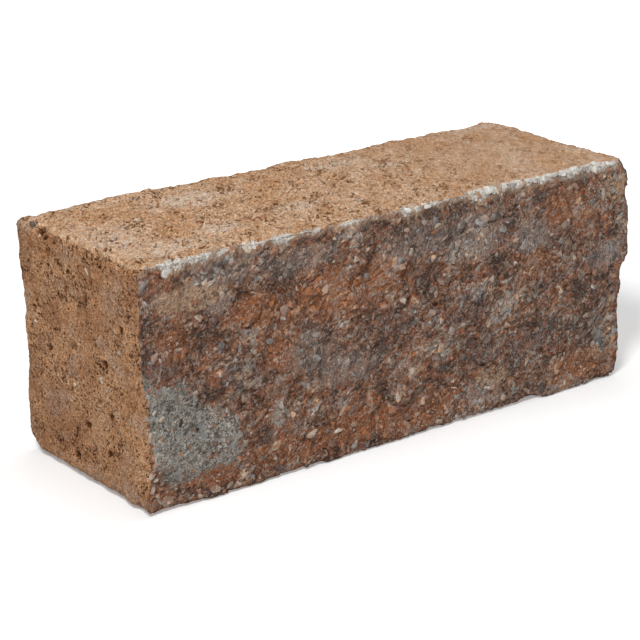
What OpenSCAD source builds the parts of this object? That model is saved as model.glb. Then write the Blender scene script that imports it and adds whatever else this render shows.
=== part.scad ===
// Split-faced wall stone: a tumbled walling block, cast in one piece, with one
// long face broken open to show the aggregate. It lies on its bed face.
// X runs along the course, Y from the split face to the back, Z up.
// The origin is the centre of the bed, at the bottom of the stone.

/* [Stone] */
// Length along the course
stone_l = 300; // [200:5:400]
// Height between the two bed faces
stone_h = 118; // [90:1:160]
// Depth from the highest point of the split face to the back
stone_d = 107; // [80:1:160]

/* [Tumbled edges] */
// Radius worn on the long arrises, seen from an end
long_arris_r = 3.5; // [2:0.5:7]
// Radius worn on the upright arrises, seen from above
upright_arris_r = 4; // [2:0.5:7]
// Radius worn on the end arrises, seen from the front
end_arris_r = 5.5; // [2:0.5:7]
// Depth of the deepest chip, from the sharp arris
chip_bite = 6; // [3:0.5:8]
// Radius of the scoop that a chip leaves
chip_r = 15; // [12:1:30]
// Depth of the most worn corner, along its diagonal
corner_wear = 10; // [6:0.5:14]

/* [Split face] */
// Depth of the split face from its highest point to its lowest
split_relief = 6; // [0:0.5:12]
// Width of the broad swells and hollows
swell_size = 70; // [40:1:90]
// Width of the smaller breaks
break_size = 20; // [15:1:40]
// Share of the relief that the smaller breaks make
break_share = 0.5; // [0:0.05:0.7]
// Width of the strip by the bed faces where the break keeps to its score line
score_reach = 22; // [8:1:40]
// Share of the relief that is left on the score line itself
score_wander = 0.3; // [0:0.05:1]
// Height of the shoulder that stands out at the right end, as a share
shoulder_share = 0.6; // [0:0.05:1.5]
// Side of a facet of the split face
facet = 6; // [5:0.5:12]
// Number that picks the pattern of the break
split_seed = 23; // [1:1:99]

/* [Hidden] */
$fn = 48;

// The sand-brown skin of the cast faces.
stone_colour = [0.62, 0.45, 0.33];
half = [stone_l, stone_d, stone_h] / 2;

// How far the cast block ran on past the break, before it was split.
split_waste = 10;

// The split face's grid runs past the stone by one and a half facets on every
// side, so that the beds and ends cut through facets and never along their edges.
overrun = 1.5;
facets_along = round(stone_l / facet);
facets_up = round(stone_h / facet);
facet_l = stone_l / facets_along;
facet_h = stone_h / facets_up;
columns = facets_along + 2 * overrun;
rows = facets_up + 2 * overrun;

// The shoulder's middle as a share of the stone, and how far it reaches.
shoulder_at = [1, 0.42];
shoulder_reach = [34, 42];

// Scoops knocked out of the arrises, as [x, y, z, bite, radius]. The place is a
// share of the stone from its middle, and two of its shares are -1 or 1, which
// puts it on an arris. Bite and radius are shares of chip_bite and chip_r.
CHIPS = [
    [-0.90, 1, 1, 0.50, 1.0],    // top, back arris
    [-0.46, 1, 1, 0.35, 1.2],
    [0.10, 1, 1, 0.40, 1.0],
    [0.52, 1, 1, 0.35, 1.4],
    [-0.60, -1, 1, 0.25, 0.8],   // top, split arris
    [-0.12, -1, 1, 0.20, 1.2],
    [0.30, -1, 1, 0.25, 1.0],
    [0.86, -1, 1, 0.35, 1.0],
    [-0.34, -1, -1, 0.20, 1.0],  // bed, split arris
    [0.16, -1, -1, 0.20, 1.2],
    [0.58, -1, -1, 0.30, 1.3],
    [-0.66, 1, -1, 0.50, 1.2],   // bed, back arris
    [0.36, 1, -1, 0.65, 1.6],
    [-1, 1, 0.20, 0.45, 0.9],    // upright arrises, left end
    [-1, 1, -0.46, 0.40, 1.2],
    [-1, -1, -0.24, 0.20, 0.8],
    [1, -1, 0.66, 0.30, 0.8],    // upright arrises, right end
    [1, -1, -0.04, 0.35, 1.1],
    [1, 1, 0.26, 0.60, 1.3],
    [-1, -0.10, 1, 0.45, 1.2],   // end arrises
    [-1, 0.62, 1, 0.55, 0.9],
    [-1, -0.40, -1, 0.50, 1.0],
    [1, 0.16, 1, 0.50, 1.2],
    [1, -0.30, -1, 0.60, 1.2],
];

// Corners that tumbling wore to a facet, as [x side, y side, z side, depth],
// with the depth as a share of corner_wear.
WORN_CORNERS = [
    [-1, -1, 1, 0.30],
    [-1, 1, 1, 0.35],
    [-1, 1, -1, 0.85],
    [-1, -1, -1, 0.30],
    [1, -1, 1, 0.55],
    [1, 1, 1, 0.75],
    [1, 1, -1, 0.75],
    [1, -1, -1, 0.35],
];

function ease(t) = t * t * (3 - 2 * t);
function blend(a, b, t) = a + (b - a) * ease(t);

// A fixed number from 0 to 1 for each crossing of a square lattice.
function crossing(i, j, seed) = rands(0, 1, 1, 7919 * seed + 131 * i + j)[0];

// Smooth noise from 0 to 1 over the lattice.
function noise(u, v, seed) =
    let (i = floor(u), j = floor(v))
    blend(
        blend(crossing(i, j, seed), crossing(i + 1, j, seed), u - i),
        blend(crossing(i, j + 1, seed), crossing(i + 1, j + 1, seed), u - i),
        v - j
    );

// How far the shoulder stands out at (x, z), from 0 to shoulder_share.
function shoulder(x, z) =
    let (
        u = (x - shoulder_at[0] * half[0]) / shoulder_reach[0],
        v = (z - (1 + shoulder_at[1]) * half[2]) / shoulder_reach[1]
    )
    shoulder_share * ease(max(0, 1 - norm([u, v])));

// Swells and breaks together, from 0 to 1. The noise is read far from the
// lattice's origin, where every index is positive.
function free_relief(x, z) =
    let (away = 50)
    (1 - break_share) * noise(x / swell_size + away, z / swell_size + away, split_seed)
    + break_share * noise(x / break_size + away, z / break_size + away, split_seed + 1);

// How far the break leans back at (x, z), before it is scaled to size. It was
// started along a score line at each bed face, so it is nearly straight there.
function raw_relief(x, z) =
    let (
        score_line = 0.5,
        off_line = min(1, max(0, min(z, stone_h - z) / score_reach)),
        freedom = score_wander + (1 - score_wander) * ease(off_line)
    )
    score_line + (free_relief(x, z) - score_line) * freedom - shoulder(x, z);

function grid_x(i) = -half[0] + (i - overrun) * facet_l;
function grid_z(j) = (j - overrun) * facet_h;

// The relief of the grid points that lie on the face, clear of its arrises.
clear = 2 * facet;
face_relief = [
    for (i = [0:columns], j = [0:rows])
        let (x = grid_x(i), z = grid_z(j))
        if (abs(x) < half[0] - clear && z > clear && z < stone_h - clear)
            raw_relief(x, z)
];
relief_low = min(face_relief);
relief_span = max(face_relief) - relief_low;

// Depth of the split face behind its highest point, in millimetres.
function relief(x, z) =
    split_relief * min(1, max(0, (raw_relief(x, z) - relief_low) / relief_span));

// A rectangle with its corners rounded, as plain shapes so that it stays exact.
module worn_rectangle(width, height, r) {
    square([width - 2 * r, height], center = true);
    square([width, height - 2 * r], center = true);
    for (x = [-1, 1], y = [-1, 1])
        translate([x * (width / 2 - r), y * (height / 2 - r)])
            circle(r);
}

// The cast block, with its arrises rounded by tumbling. It runs on past the
// break, which leaves the arrises round the split face sharp.
module tumbled_block() {
    cast_d = stone_d + split_waste;
    translate([0, -split_waste / 2, half[2]])
        intersection() {
            linear_extrude(stone_h, center = true)
                worn_rectangle(stone_l, cast_d, upright_arris_r);
            rotate([90, 0, 0])
                linear_extrude(cast_d, center = true)
                    worn_rectangle(stone_l, stone_h, end_arris_r);
            rotate([90, 0, 90])
                linear_extrude(stone_l, center = true)
                    worn_rectangle(cast_d, stone_h, long_arris_r);
        }
}

// Everything behind the break: the split face is its front, in triangles.
module behind_the_break() {
    count = (columns + 1) * (rows + 1);
    function at(i, j) = i * (rows + 1) + j;
    front_points = [
        for (i = [0:columns], j = [0:rows])
            let (x = grid_x(i), z = grid_z(j))
            [x, -half[1] + relief(x, z), z]
    ];
    back_points = [
        for (corner = [[0, 0], [columns, 0], [columns, rows], [0, rows]])
            [grid_x(corner[0]), stone_d, grid_z(corner[1])]
    ];
    // The diagonals alternate, so that the facets don't lean one way.
    front_faces = [
        for (i = [0:columns - 1], j = [0:rows - 1])
            each (i + j) % 2 == 0
                ? [[at(i, j), at(i, j + 1), at(i + 1, j + 1)],
                   [at(i, j), at(i + 1, j + 1), at(i + 1, j)]]
                : [[at(i, j), at(i, j + 1), at(i + 1, j)],
                   [at(i + 1, j), at(i, j + 1), at(i + 1, j + 1)]]
    ];
    bottom = [for (i = [0:columns]) at(i, 0)];
    top = [for (i = [columns:-1:0]) at(i, rows)];
    left = [for (j = [rows:-1:0]) at(0, j)];
    right = [for (j = [0:rows]) at(columns, j)];
    sides = [
        concat(bottom, [count + 1, count]),
        concat(top, [count + 3, count + 2]),
        concat(left, [count, count + 3]),
        concat(right, [count + 2, count + 1]),
        [count, count + 1, count + 2, count + 3],
    ];
    polyhedron(concat(front_points, back_points), concat(front_faces, sides));
}

// One scoop, as a ball that stands off the arris and bites in to its depth.
module chip_scoop(chip) {
    share = [chip[0], chip[1], chip[2]];
    on_arris = [for (s = share) abs(s) == 1 ? s : 0];
    outward = on_arris / norm(on_arris);
    place = [for (k = [0:2]) share[k] * half[k]] + [0, 0, half[2]];
    behind_split = share[1] == -1 ? relief(place[0], place[2]) : 0;
    r = chip[4] * chip_r;
    translate(place + [0, behind_split, 0] + outward * (r - chip[3] * chip_bite))
        sphere(r);
}

// A box whose lower face cuts a corner off at its depth.
module corner_facet(corner) {
    side = 5 * corner_wear;
    sign = [corner[0], corner[1], corner[2]];
    place = [for (k = [0:2]) sign[k] * half[k]] + [0, 0, half[2]];
    diagonal = sign / norm(sign);
    translate(place - diagonal * corner[3] * corner_wear)
        rotate([0, acos(diagonal[2]), atan2(diagonal[1], diagonal[0])])
            translate([-side / 2, -side / 2, 0])
                cube(side);
}

module wall_stone() {
    color(stone_colour)
        difference() {
            intersection() {
                tumbled_block();
                behind_the_break();
            }
            for (chip = CHIPS)
                chip_scoop(chip);
            for (corner = WORN_CORNERS)
                corner_facet(corner);
        }
}

wall_stone();
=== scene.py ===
"""Looks of the split-faced wall stone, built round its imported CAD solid.

The stone is a cast, tumbled walling block. Its beds, ends and back have a sandy
cast skin, and its long front face is split open and shows the aggregate.
Sizes are in metres unless a name ends in _MM, and the finishes reckon in
millimetres. X runs along the course, Y from the split face to the back, Z up.
"""

import math

import bpy
import numpy as np
from mathutils import Matrix, Vector
from mathutils.bvhtree import BVHTree


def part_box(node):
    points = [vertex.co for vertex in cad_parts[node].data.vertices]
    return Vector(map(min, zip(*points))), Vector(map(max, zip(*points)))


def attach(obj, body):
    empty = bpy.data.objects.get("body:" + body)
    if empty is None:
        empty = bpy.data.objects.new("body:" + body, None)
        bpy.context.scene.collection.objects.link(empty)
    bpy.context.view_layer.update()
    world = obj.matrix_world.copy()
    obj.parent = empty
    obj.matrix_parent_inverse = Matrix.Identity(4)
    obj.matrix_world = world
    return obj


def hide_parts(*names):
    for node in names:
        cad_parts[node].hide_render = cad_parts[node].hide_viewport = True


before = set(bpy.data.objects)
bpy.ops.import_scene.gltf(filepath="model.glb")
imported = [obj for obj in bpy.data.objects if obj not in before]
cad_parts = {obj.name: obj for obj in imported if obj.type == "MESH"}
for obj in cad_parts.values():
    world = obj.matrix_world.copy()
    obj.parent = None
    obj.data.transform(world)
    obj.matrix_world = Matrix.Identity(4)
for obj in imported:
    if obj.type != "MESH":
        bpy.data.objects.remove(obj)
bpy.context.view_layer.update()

MM = 0.001
NODE = "wall_stone"
BODY = "root"
LOW, HIGH = (np.array(corner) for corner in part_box(NODE))
MIDDLE = (LOW + HIGH) / 2
LOW_MM, HIGH_MM = LOW / MM, HIGH / MM

# --- Zones of the split face: x, z, half width, half height in mm, and tilt ---
ZONES_MM = {
    "rust": [
        (-84, 86, 16, 8, 10), (-71, 63, 11, 8, 0), (-103, 15, 14, 7, 20),
        (-62, 13, 28, 7, 3), (-18, 15, 28, 9, 0), (16, 12, 22, 8, 0),
        (-35, 84, 34, 13, 5), (110, 95, 17, 12, 0), (92, 74, 13, 8, 15),
        (118, 11, 24, 8, 0), (-132, 78, 10, 8, 0), (-147, 28, 4, 24, 0),
    ],
    "beige": [(-121, 98, 20, 6, -3), (141, 103, 8, 8, 0), (60, 19, 10, 6, 0)],
    "ash": [
        (-101, 107, 15, 7, 0), (-62, 104, 20, 6, 0), (12, 101, 28, 8, 0),
        (46, 97, 20, 12, 0), (-53, 60, 14, 10, 0), (-32, 46, 22, 8, 0),
        (135, 68, 10, 7, 20), (51, 15, 9, 5, 0), (-106, 93, 8, 5, 0),
        (84, 88, 12, 8, 0),
    ],
    "dark": [
        (-138, 72, 9, 9, 0), (-94, 60, 11, 10, 0), (106, 82, 11, 7, 0),
        (93, 36, 18, 9, 0), (128, 30, 12, 12, 0), (-10, 62, 18, 8, 0),
        (40, 60, 16, 8, 0), (58, 34, 16, 7, 0),
    ],
}
# The outline of the grey cement patch, as x and z in mm, and how far inside it
# the patch is at full depth.
CEMENT_OUTLINE_MM = [
    (-151, 70), (-139, 62), (-125, 60), (-116, 48), (-97, 39), (-92, 28), (-99, 15),
    (-120, 13), (-134, 13), (-144, 25), (-146, 44), (-151, 54),
]
CEMENT_REACH_MM = 10
# Bruises on the top split arris, as x, half length in mm, and strength.
BRUISES_MM = [
    (-130, 8, 1.4), (-112, 18, 0.8), (-86, 8, 1.2), (-69, 8, 1.3), (-52, 6, 0.6),
    (-31, 8, 0.5), (5, 8, 1.4), (22, 8, 0.5), (49, 10, 1.5), (62, 10, 1.3), (78, 12, 1.2),
    (94, 10, 1.0), (110, 12, 1.2), (128, 13, 1.2), (139, 8, 1.0),
]
BRUISE_REACH_MM = 3.3
BRUISE_ENDS = 1.5       # how steeply a bruise comes up from its two ends
# Pale bloom on the top bed, as x, y, half length and half width in mm.
BLOOM_MM = [
    (-132, -8, 12, 22), (-118, -30, 20, 9), (-70, 26, 20, 9), (24, 33, 16, 6),
    (47, 15, 10, 5), (-34, -15, 14, 6), (-84, -20, 12, 6), (128, 44, 12, 5),
]
# Along the top bed, the crumbs go from loose to pressed smooth between these
# two places in x, in mm.
PRESSED_MM = (-20.0, 110.0)


# ============================ The stone's blank ============================
CELLS = (236, 76, 96)
FAN = 8 * MM            # reach of the rounded directions round each arris
RAY_START = 1.5 * FAN   # how far outside the box a ray starts
RAY_LENGTH = 6 * FAN
FACE_CLEAR = 3 * MM     # how far inside its rim the split face is measured
SOFTEN_MM = 3.0         # the CAD's flat facets are blurred by this much
BEND_IN = 9 * MM        # where the blurred face takes over from the CAD
ARRIS_REACH = 9 * MM
# How squarely a spot faces forwards where the split face begins and is whole.
SPLIT_FACING = (0.20, 0.50)

# The ends stand out near the top bed and draw in below it, by side: how far,
# and between which two heights, in mm.
END_DRAWS_MM = {-1: (2.3, 116, 58), 1: (2.2, 66, 44)}

# Where the split face stands further out or in at its ends, as x, z, reach
# along, reach up and shift in y, in mm.
FACE_SHIFTS_MM = [(-150, 30, 44, 27, -3.0), (150, 107, 30, 14, 1.5)]
FACE_SHIFT_FADE = (0.25, 1)
FACE_SHIFT_DEPTH_MM = 30

# Wear placed on three arrises, as its middle along the arris, half length and
# depth in mm. A place with less than 0 has kept its edge.
ARRIS_WEAR_MM = {
    "top back": [
        (-88, 26, -1.6), (-50, 8, 0.8), (-28, 7, 0.9), (-8, 8, 1.2), (8, 11, -0.9),
        (30, 10, 0.7), (55, 9, 1.1), (96, 9, 0.8), (128, 16, 1.4),
    ],
    "bed front": [(-128, 20, 1.5), (-78, 8, 0.8), (10, 12, 0.6), (88, 9, 0.8)],
    "left front": [(33, 34, 1.6)],
}
WEAR_REACH_MM = (1, 8)

# Below its middle the worn left split arris shows skin, which wraps round it.
SKIN_WRAP_MM = 2.8
SKIN_WRAP_START_MM = -1
SKIN_WRAP_SOFT_MM = 0.8
SKIN_WRAP_HEIGHTS_MM = (2, 14, 50, 68)

# Placed hollows of the left end, as y, z, half width and half height in mm.
END_HOLLOWS_MM = [
    (31.5, 115.4, 4.2, 3.0), (26, 114, 2.2, 1.8), (11, 92, 3.6, 3.2), (-5, 93, 3.0, 3.6),
    (0, 88, 2.2, 2.0), (41, 75, 2.4, 2.4), (-33, 85, 2.2, 2.6), (-18, 64, 2.0, 2.8),
    (29, 59, 2.6, 2.0), (6, 66, 2.0, 2.6), (-43, 2, 4.2, 3.0), (-2, 30, 3.0, 2.6),
    (8, 12, 3.2, 2.4), (24, 32, 2.4, 3.0), (-22, 40, 1.8, 2.8), (38, 44, 2.2, 1.8),
    (16, 104, 2.6, 1.8), (-20, 22, 2.4, 2.0), (-30, 100, 1.6, 1.8),
]
END_DEPTH_MM = 6        # how far in from the left end a spot still counts as on it


def smooth_step(low, high, value):
    share = np.clip((value - low) / (high - low), 0, 1)
    return share * share * (3 - 2 * share)


def solid_tree(node):
    """A ray tree of a CAD node's triangles."""
    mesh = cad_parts[node].data
    mesh.calc_loop_triangles()
    points = [v.co.copy() for v in mesh.vertices]
    return BVHTree.FromPolygons(points, [t.vertices[:] for t in mesh.loop_triangles])


def box_lattice(cells):
    """A box of cells: its surface points in steps, its quads, and their sides."""
    shape = [count + 1 for count in cells]
    steps = np.stack(np.indices(shape), -1)
    on_surface = ((steps == 0) | (steps == np.array(cells))).any(-1)
    number = np.full(shape, -1)
    number[on_surface] = np.arange(on_surface.sum())
    quads, sides = [], []
    for axis in range(3):
        for end in (0, 1):
            sheet = np.take(number, cells[axis] * end, axis)
            ring = [sheet[:-1, :-1], sheet[1:, :-1], sheet[1:, 1:], sheet[:-1, 1:]]
            if (end == 1) == (axis == 1):
                ring.reverse()
            quads.append(np.stack(ring, -1).reshape(-1, 4))
            sides.append(np.full(len(quads[-1]), 2 * axis + end))
    return steps[on_surface], np.concatenate(quads), np.concatenate(sides)


def blur(grid, reach):
    """A height grid blurred by a bell curve that is reach steps wide."""
    offsets = np.arange(-int(3 * reach), int(3 * reach) + 1)
    weights = np.exp(-0.5 * (offsets / reach) ** 2)
    weights /= weights.sum()
    for axis in (0, 1):
        padding = [(len(offsets) // 2,) * 2 if a == axis else (0, 0) for a in (0, 1)]
        padded = np.pad(grid, padding, mode="edge")
        grid = sum(w * np.take(padded, np.arange(grid.shape[axis]) + i, axis)
                   for i, w in enumerate(weights))
    return grid


def split_depths(tree, shares):
    """Where the split face lies, as a grid of y over the lattice's x and z."""
    low, high = LOW + FACE_CLEAR, HIGH - FACE_CLEAR
    start = LOW[1] - FAN
    depths = np.empty((CELLS[0] + 1, CELLS[2] + 1))
    for i, x in enumerate(np.clip(LOW[0] + shares[0] * (HIGH - LOW)[0], low[0], high[0])):
        for k, z in enumerate(np.clip(LOW[2] + shares[2] * (HIGH - LOW)[2], low[2], high[2])):
            depths[i, k] = tree.ray_cast(Vector((x, start, z)), Vector((0, 1, 0)))[0].y
    cell_mm = (HIGH_MM - LOW_MM)[0] / CELLS[0]
    return blur(depths, SOFTEN_MM / cell_mm)


def wrap_on_solid(tree, points, outward):
    """Each point moved in along its own direction until it meets the solid."""
    places, facing = points.copy(), outward.copy()
    for n, (point, way) in enumerate(zip(points, outward)):
        hit, normal, _, _ = tree.ray_cast(Vector(point + way * RAY_START), Vector(-way), RAY_LENGTH)
        if hit is not None:
            places[n], facing[n] = hit, normal
    return places, facing


def stone_points(steps):
    """The blank's points, their outward directions and their fields."""
    tree = solid_tree(NODE)
    shares = [np.linspace(0, 1, count + 1) for count in CELLS]
    depths = split_depths(tree, shares)
    front = depths[steps[:, 0], steps[:, 2]]
    share = steps / np.array(CELLS)
    points = LOW + share * (HIGH - LOW)
    points[:, 1] = front + share[:, 1] * (HIGH[1] - front)
    low = np.stack([np.full(len(front), LOW[0]), front, np.full(len(front), LOW[2])], -1)
    core = np.clip(points, low + FAN, HIGH - FAN)
    outward = points - core
    outward /= np.linalg.norm(outward, axis=1)[:, None]
    places, facing = wrap_on_solid(tree, points, outward)
    rim = np.minimum(points - low, HIGH - points)
    face_rim = np.minimum(rim[:, 0], rim[:, 2])
    on_front = (steps[:, 1] == 0) * smooth_step(FACE_CLEAR, BEND_IN, face_rim)
    places += (points - places) * on_front[:, None]
    second = np.sort(rim, axis=1)[:, 1]
    fields = {
        "split": smooth_step(*SPLIT_FACING, -facing[:, 1]) * past_skin_wrap(places),
        "arris": np.clip(1 - second / ARRIS_REACH, 0, 1),
        "wear": placed_wear(places, front) * MM,
        "hollow": end_hollows(places),
    }
    places[:, 1] += face_shift(places, front) * MM
    for side, (depth, start, full) in END_DRAWS_MM.items():
        mine = places[:, 0] * side > 0
        drawn = depth * smooth_step(0, start - full, start - places[:, 2] / MM)
        places[mine, 0] *= 1 - drawn[mine] / HIGH_MM[0]
    return places, outward, front, fields


def past_skin_wrap(places):
    """0 on the strip of skin that wraps round the left split arris, 1 past it."""
    rise, full, fall, gone = SKIN_WRAP_HEIGHTS_MM
    height = places[:, 2] / MM
    share = smooth_step(rise, full, height) * (1 - smooth_step(fall, gone, height))
    edge = share * (SKIN_WRAP_MM - SKIN_WRAP_START_MM) + SKIN_WRAP_START_MM
    past = (places[:, 0] - LOW[0]) / MM - edge
    return smooth_step(-SKIN_WRAP_SOFT_MM, SKIN_WRAP_SOFT_MM, past)


def placed_wear(places, front):
    """How much deeper than elsewhere the arrises are worn at each place, in mm."""
    x, y, z = (places / MM).T
    behind, above = y - front / MM, z - LOW_MM[2]
    arrises = {
        "top back": (x, np.hypot(HIGH_MM[1] - y, HIGH_MM[2] - z)),
        "bed front": (x, np.hypot(behind, above)),
        "left front": (z, np.hypot(x - LOW_MM[0], behind)),
    }
    wear = np.zeros(len(x))
    for name, rows in ARRIS_WEAR_MM.items():
        along, distance = arrises[name]
        near = 1 - smooth_step(*WEAR_REACH_MM, distance)
        for middle, half_length, depth in rows:
            wear += depth * near * (1 - smooth_step(0, 1, np.abs(along - middle) / half_length))
    return wear


def face_shift(places, front):
    """How far the split face's ends are moved in y, in mm, fading behind the face."""
    x, y, z = (places / MM).T
    shift = np.zeros(len(x))
    for middle_x, middle_z, reach_x, reach_z, depth in FACE_SHIFTS_MM:
        away = np.hypot((x - middle_x) / reach_x, (z - middle_z) / reach_z)
        shift += depth * (1 - smooth_step(*FACE_SHIFT_FADE, away))
    return shift * (1 - smooth_step(0, FACE_SHIFT_DEPTH_MM, y - front / MM))


def end_hollows(places):
    """1 in the middle of a placed hollow of the left end, and 0 clear of it."""
    x, y, z = (places / MM).T
    on_end = x < LOW_MM[0] + END_DEPTH_MM
    return np.maximum(ellipse_field(y, z, END_HOLLOWS_MM), 0) * on_end


def ellipse_field(u, v, ellipses):
    """1 in the middle of the nearest ellipse, 0 on its rim and less outside."""
    best = np.full(len(u), -1.0)
    for row in ellipses:
        middle_u, middle_v, reach_u, reach_v = row[:4]
        turn = math.radians(row[4]) if len(row) > 4 else 0
        du, dv = u - middle_u, v - middle_v
        along = du * math.cos(turn) + dv * math.sin(turn)
        across = dv * math.cos(turn) - du * math.sin(turn)
        best = np.maximum(best, 1 - np.hypot(along / reach_u, across / reach_v))
    return np.clip(best, -1, 1)


def outline_field(u, v, corners, reach):
    """1 deep inside a closed outline, 0 on it and less outside."""
    inside = np.zeros(len(u), bool)
    nearest = np.full(len(u), np.inf)
    for (u0, v0), (u1, v1) in zip(corners, corners[1:] + corners[:1]):
        du, dv = u1 - u0, v1 - v0
        share = np.clip(((u - u0) * du + (v - v0) * dv) / (du * du + dv * dv), 0, 1)
        nearest = np.minimum(nearest, np.hypot(u - u0 - share * du, v - v0 - share * dv))
        crossed = (v0 > v) != (v1 > v)
        inside ^= crossed & (u < u0 + (v - v0) * du / (dv or 1))
    return np.clip(np.where(inside, nearest, -nearest) / reach, -1, 1)


def zone_fields(places, front):
    """The fields that place the zones, the bruises and the bloom.

    front is the split face's y above or below each place."""
    x, y, z = (places / MM).T
    fields = {name: ellipse_field(x, z, rows) for name, rows in ZONES_MM.items()}
    fields["cement"] = outline_field(x, z, CEMENT_OUTLINE_MM, CEMENT_REACH_MM)
    fields["bloom"] = ellipse_field(x, y, BLOOM_MM)
    from_arris = np.hypot(HIGH_MM[2] - z, np.maximum(0, y - front / MM))
    strength = np.zeros(len(x))
    for middle, half_length, amount in BRUISES_MM:
        along = 1 - np.abs(x - middle) / half_length
        strength = np.maximum(strength, amount * np.clip(BRUISE_ENDS * along, 0, 1))
    fields["bruise"] = strength - from_arris / BRUISE_REACH_MM
    return fields


# Each side's lowest corner on the square map sheet, in mm, in the order
# left end, right end, split face, back, bottom bed, top bed.
SHEET_MM = 466
SHEET_CORNERS_MM = [(310, 4), (310, 130), (4, 4), (4, 126), (4, 248), (4, 359)]


def sheet_map(mesh, steps, quads, sides):
    """Lays the six sides side by side on the map that a finish is baked to."""
    flat = steps[quads] / np.array(CELLS) * (HIGH_MM - LOW_MM)
    corners = np.empty((len(quads), 4, 2))
    for side, origin in enumerate(SHEET_CORNERS_MM):
        mine = sides == side
        across, up = [a for a in range(3) if a != side // 2]
        corners[mine] = flat[mine][:, :, [across, up]] + np.array(origin)
    layer = mesh.uv_layers.new(name="OFBake")
    layer.data.foreach_set("uv", (corners / SHEET_MM).astype(np.float32).ravel())


def set_field(mesh, name, values, kind="FLOAT"):
    attribute = mesh.attributes.new(name, kind, "POINT")
    key = "vector" if kind == "FLOAT_VECTOR" else "value"
    attribute.data.foreach_set(key, np.asarray(values, np.float32).ravel())


def show(name, mesh):
    """A new object in the scene, at the origin."""
    piece = bpy.data.objects.new(name, mesh)
    bpy.context.scene.collection.objects.link(piece)
    return piece


def make_blank():
    """The stone as a closed lattice on the CAD solid, with its fields."""
    steps, quads, sides = box_lattice(CELLS)
    places, outward, front, fields = stone_points(steps)
    fields.update(zone_fields(places, front))
    mesh = bpy.data.meshes.new("stone_blank")
    mesh.from_pydata(places.tolist(), [], quads.tolist())
    sheet_map(mesh, steps, quads, sides)
    set_field(mesh, "outward", outward, "FLOAT_VECTOR")
    for name, values in fields.items():
        set_field(mesh, name, values)
    mesh.polygons.foreach_set("use_smooth", np.ones(len(quads), bool))
    return show("stone_blank", mesh)


# ============================ Node tree helpers ============================
FLOAT, VECTOR, COLOUR = "NodeSocketFloat", "NodeSocketVector", "NodeSocketColor"
INTEGER, SWITCH, ROTATION = "NodeSocketInt", "NodeSocketBool", "NodeSocketRotation"
GEOMETRY, MATERIAL = "NodeSocketGeometry", "NodeSocketMaterial"
HALVES = (0.5, 0.5, 0.5)


def is_socket(value):
    return isinstance(value, bpy.types.NodeSocket)


def add(tree, kind, feeds=None, **settings):
    """A new node. feeds sets its inputs, by name or number, or links them."""
    node = tree.nodes.new(kind)
    for key, value in settings.items():
        setattr(node, key, value)
    for key, value in (feeds or {}).items():
        if is_socket(value):
            tree.links.new(value, node.inputs[key])
        else:
            node.inputs[key].default_value = value
    return node


def calc(tree, operation, *values):
    """The result of a Math node."""
    feeds = dict(enumerate(values))
    return add(tree, "ShaderNodeMath", feeds, operation=operation).outputs[0]


def product(tree, first, *others):
    """Two or more values multiplied."""
    for other in others:
        first = calc(tree, "MULTIPLY", first, other)
    return first


def weighted_sum(tree, *terms):
    """The sum of (value, weight) pairs."""
    total = 0.0
    for value, weight in terms:
        total = calc(tree, "MULTIPLY_ADD", value, weight, total)
    return total


def vector_calc(tree, operation, *values):
    """The result of a Vector Math node: a vector, or a value where it has one."""
    feeds = dict(enumerate(values))
    node = add(tree, "ShaderNodeVectorMath", feeds, operation=operation)
    return node.outputs["Value" if operation in ("DOT_PRODUCT", "LENGTH") else "Vector"]


def scaled(tree, vector, factor):
    feeds = {"Vector": vector, "Scale": factor}
    return add(tree, "ShaderNodeVectorMath", feeds, operation="SCALE").outputs["Vector"]


def parts(tree, vector):
    """The three parts of a vector or a colour."""
    return add(tree, "ShaderNodeSeparateXYZ", {0: vector}).outputs


def joined(tree, x, y, z=0.0):
    """A vector made of three values."""
    return add(tree, "ShaderNodeCombineXYZ", {0: x, 1: y, 2: z}).outputs[0]


def remap(tree, value, low, high, to_low=0.0, to_high=1.0, kind="SMOOTHSTEP"):
    feeds = {"Value": value, "From Min": low, "From Max": high,
             "To Min": to_low, "To Max": to_high}
    return add(tree, "ShaderNodeMapRange", feeds, interpolation_type=kind).outputs[0]


def blended(tree, factor, first, second):
    """Two values mixed by a factor."""
    return add(tree, "ShaderNodeMix", {0: factor, 2: first, 3: second}).outputs[0]


def inverse(tree, size):
    return calc(tree, "DIVIDE", 1.0, size) if is_socket(size) else 1.0 / size


def noise(tree, vector, size, detail=2.0, roughness=0.5, output="Fac"):
    """Smooth noise whose lumps are about size wide."""
    feeds = {"Vector": vector, "Scale": inverse(tree, size), "Detail": detail,
             "Roughness": roughness}
    return add(tree, "ShaderNodeTexNoise", feeds).outputs[output]


def lumps(tree, vector, size, detail=1.0):
    """Noise stretched to run from 0 to 1, for a height."""
    return remap(tree, noise(tree, vector, size, detail), 0.25, 0.75, kind="LINEAR")


def swayed(tree, place, size, reach, detail=2.0, roughness=0.5):
    """The place pushed about by noise, so that what reads it has ragged shapes."""
    push = noise(tree, place, size, detail, roughness, "Color")
    push = vector_calc(tree, "SUBTRACT", push, HALVES)
    return vector_calc(tree, "ADD", place, scaled(tree, push, reach))


def grains(tree, vector, size, feature="F1"):
    """A Voronoi node's outputs, for cells about size wide."""
    feeds = {"Vector": vector, "Scale": inverse(tree, size), "Randomness": 1.0}
    return add(tree, "ShaderNodeTexVoronoi", feeds, feature=feature).outputs


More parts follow.
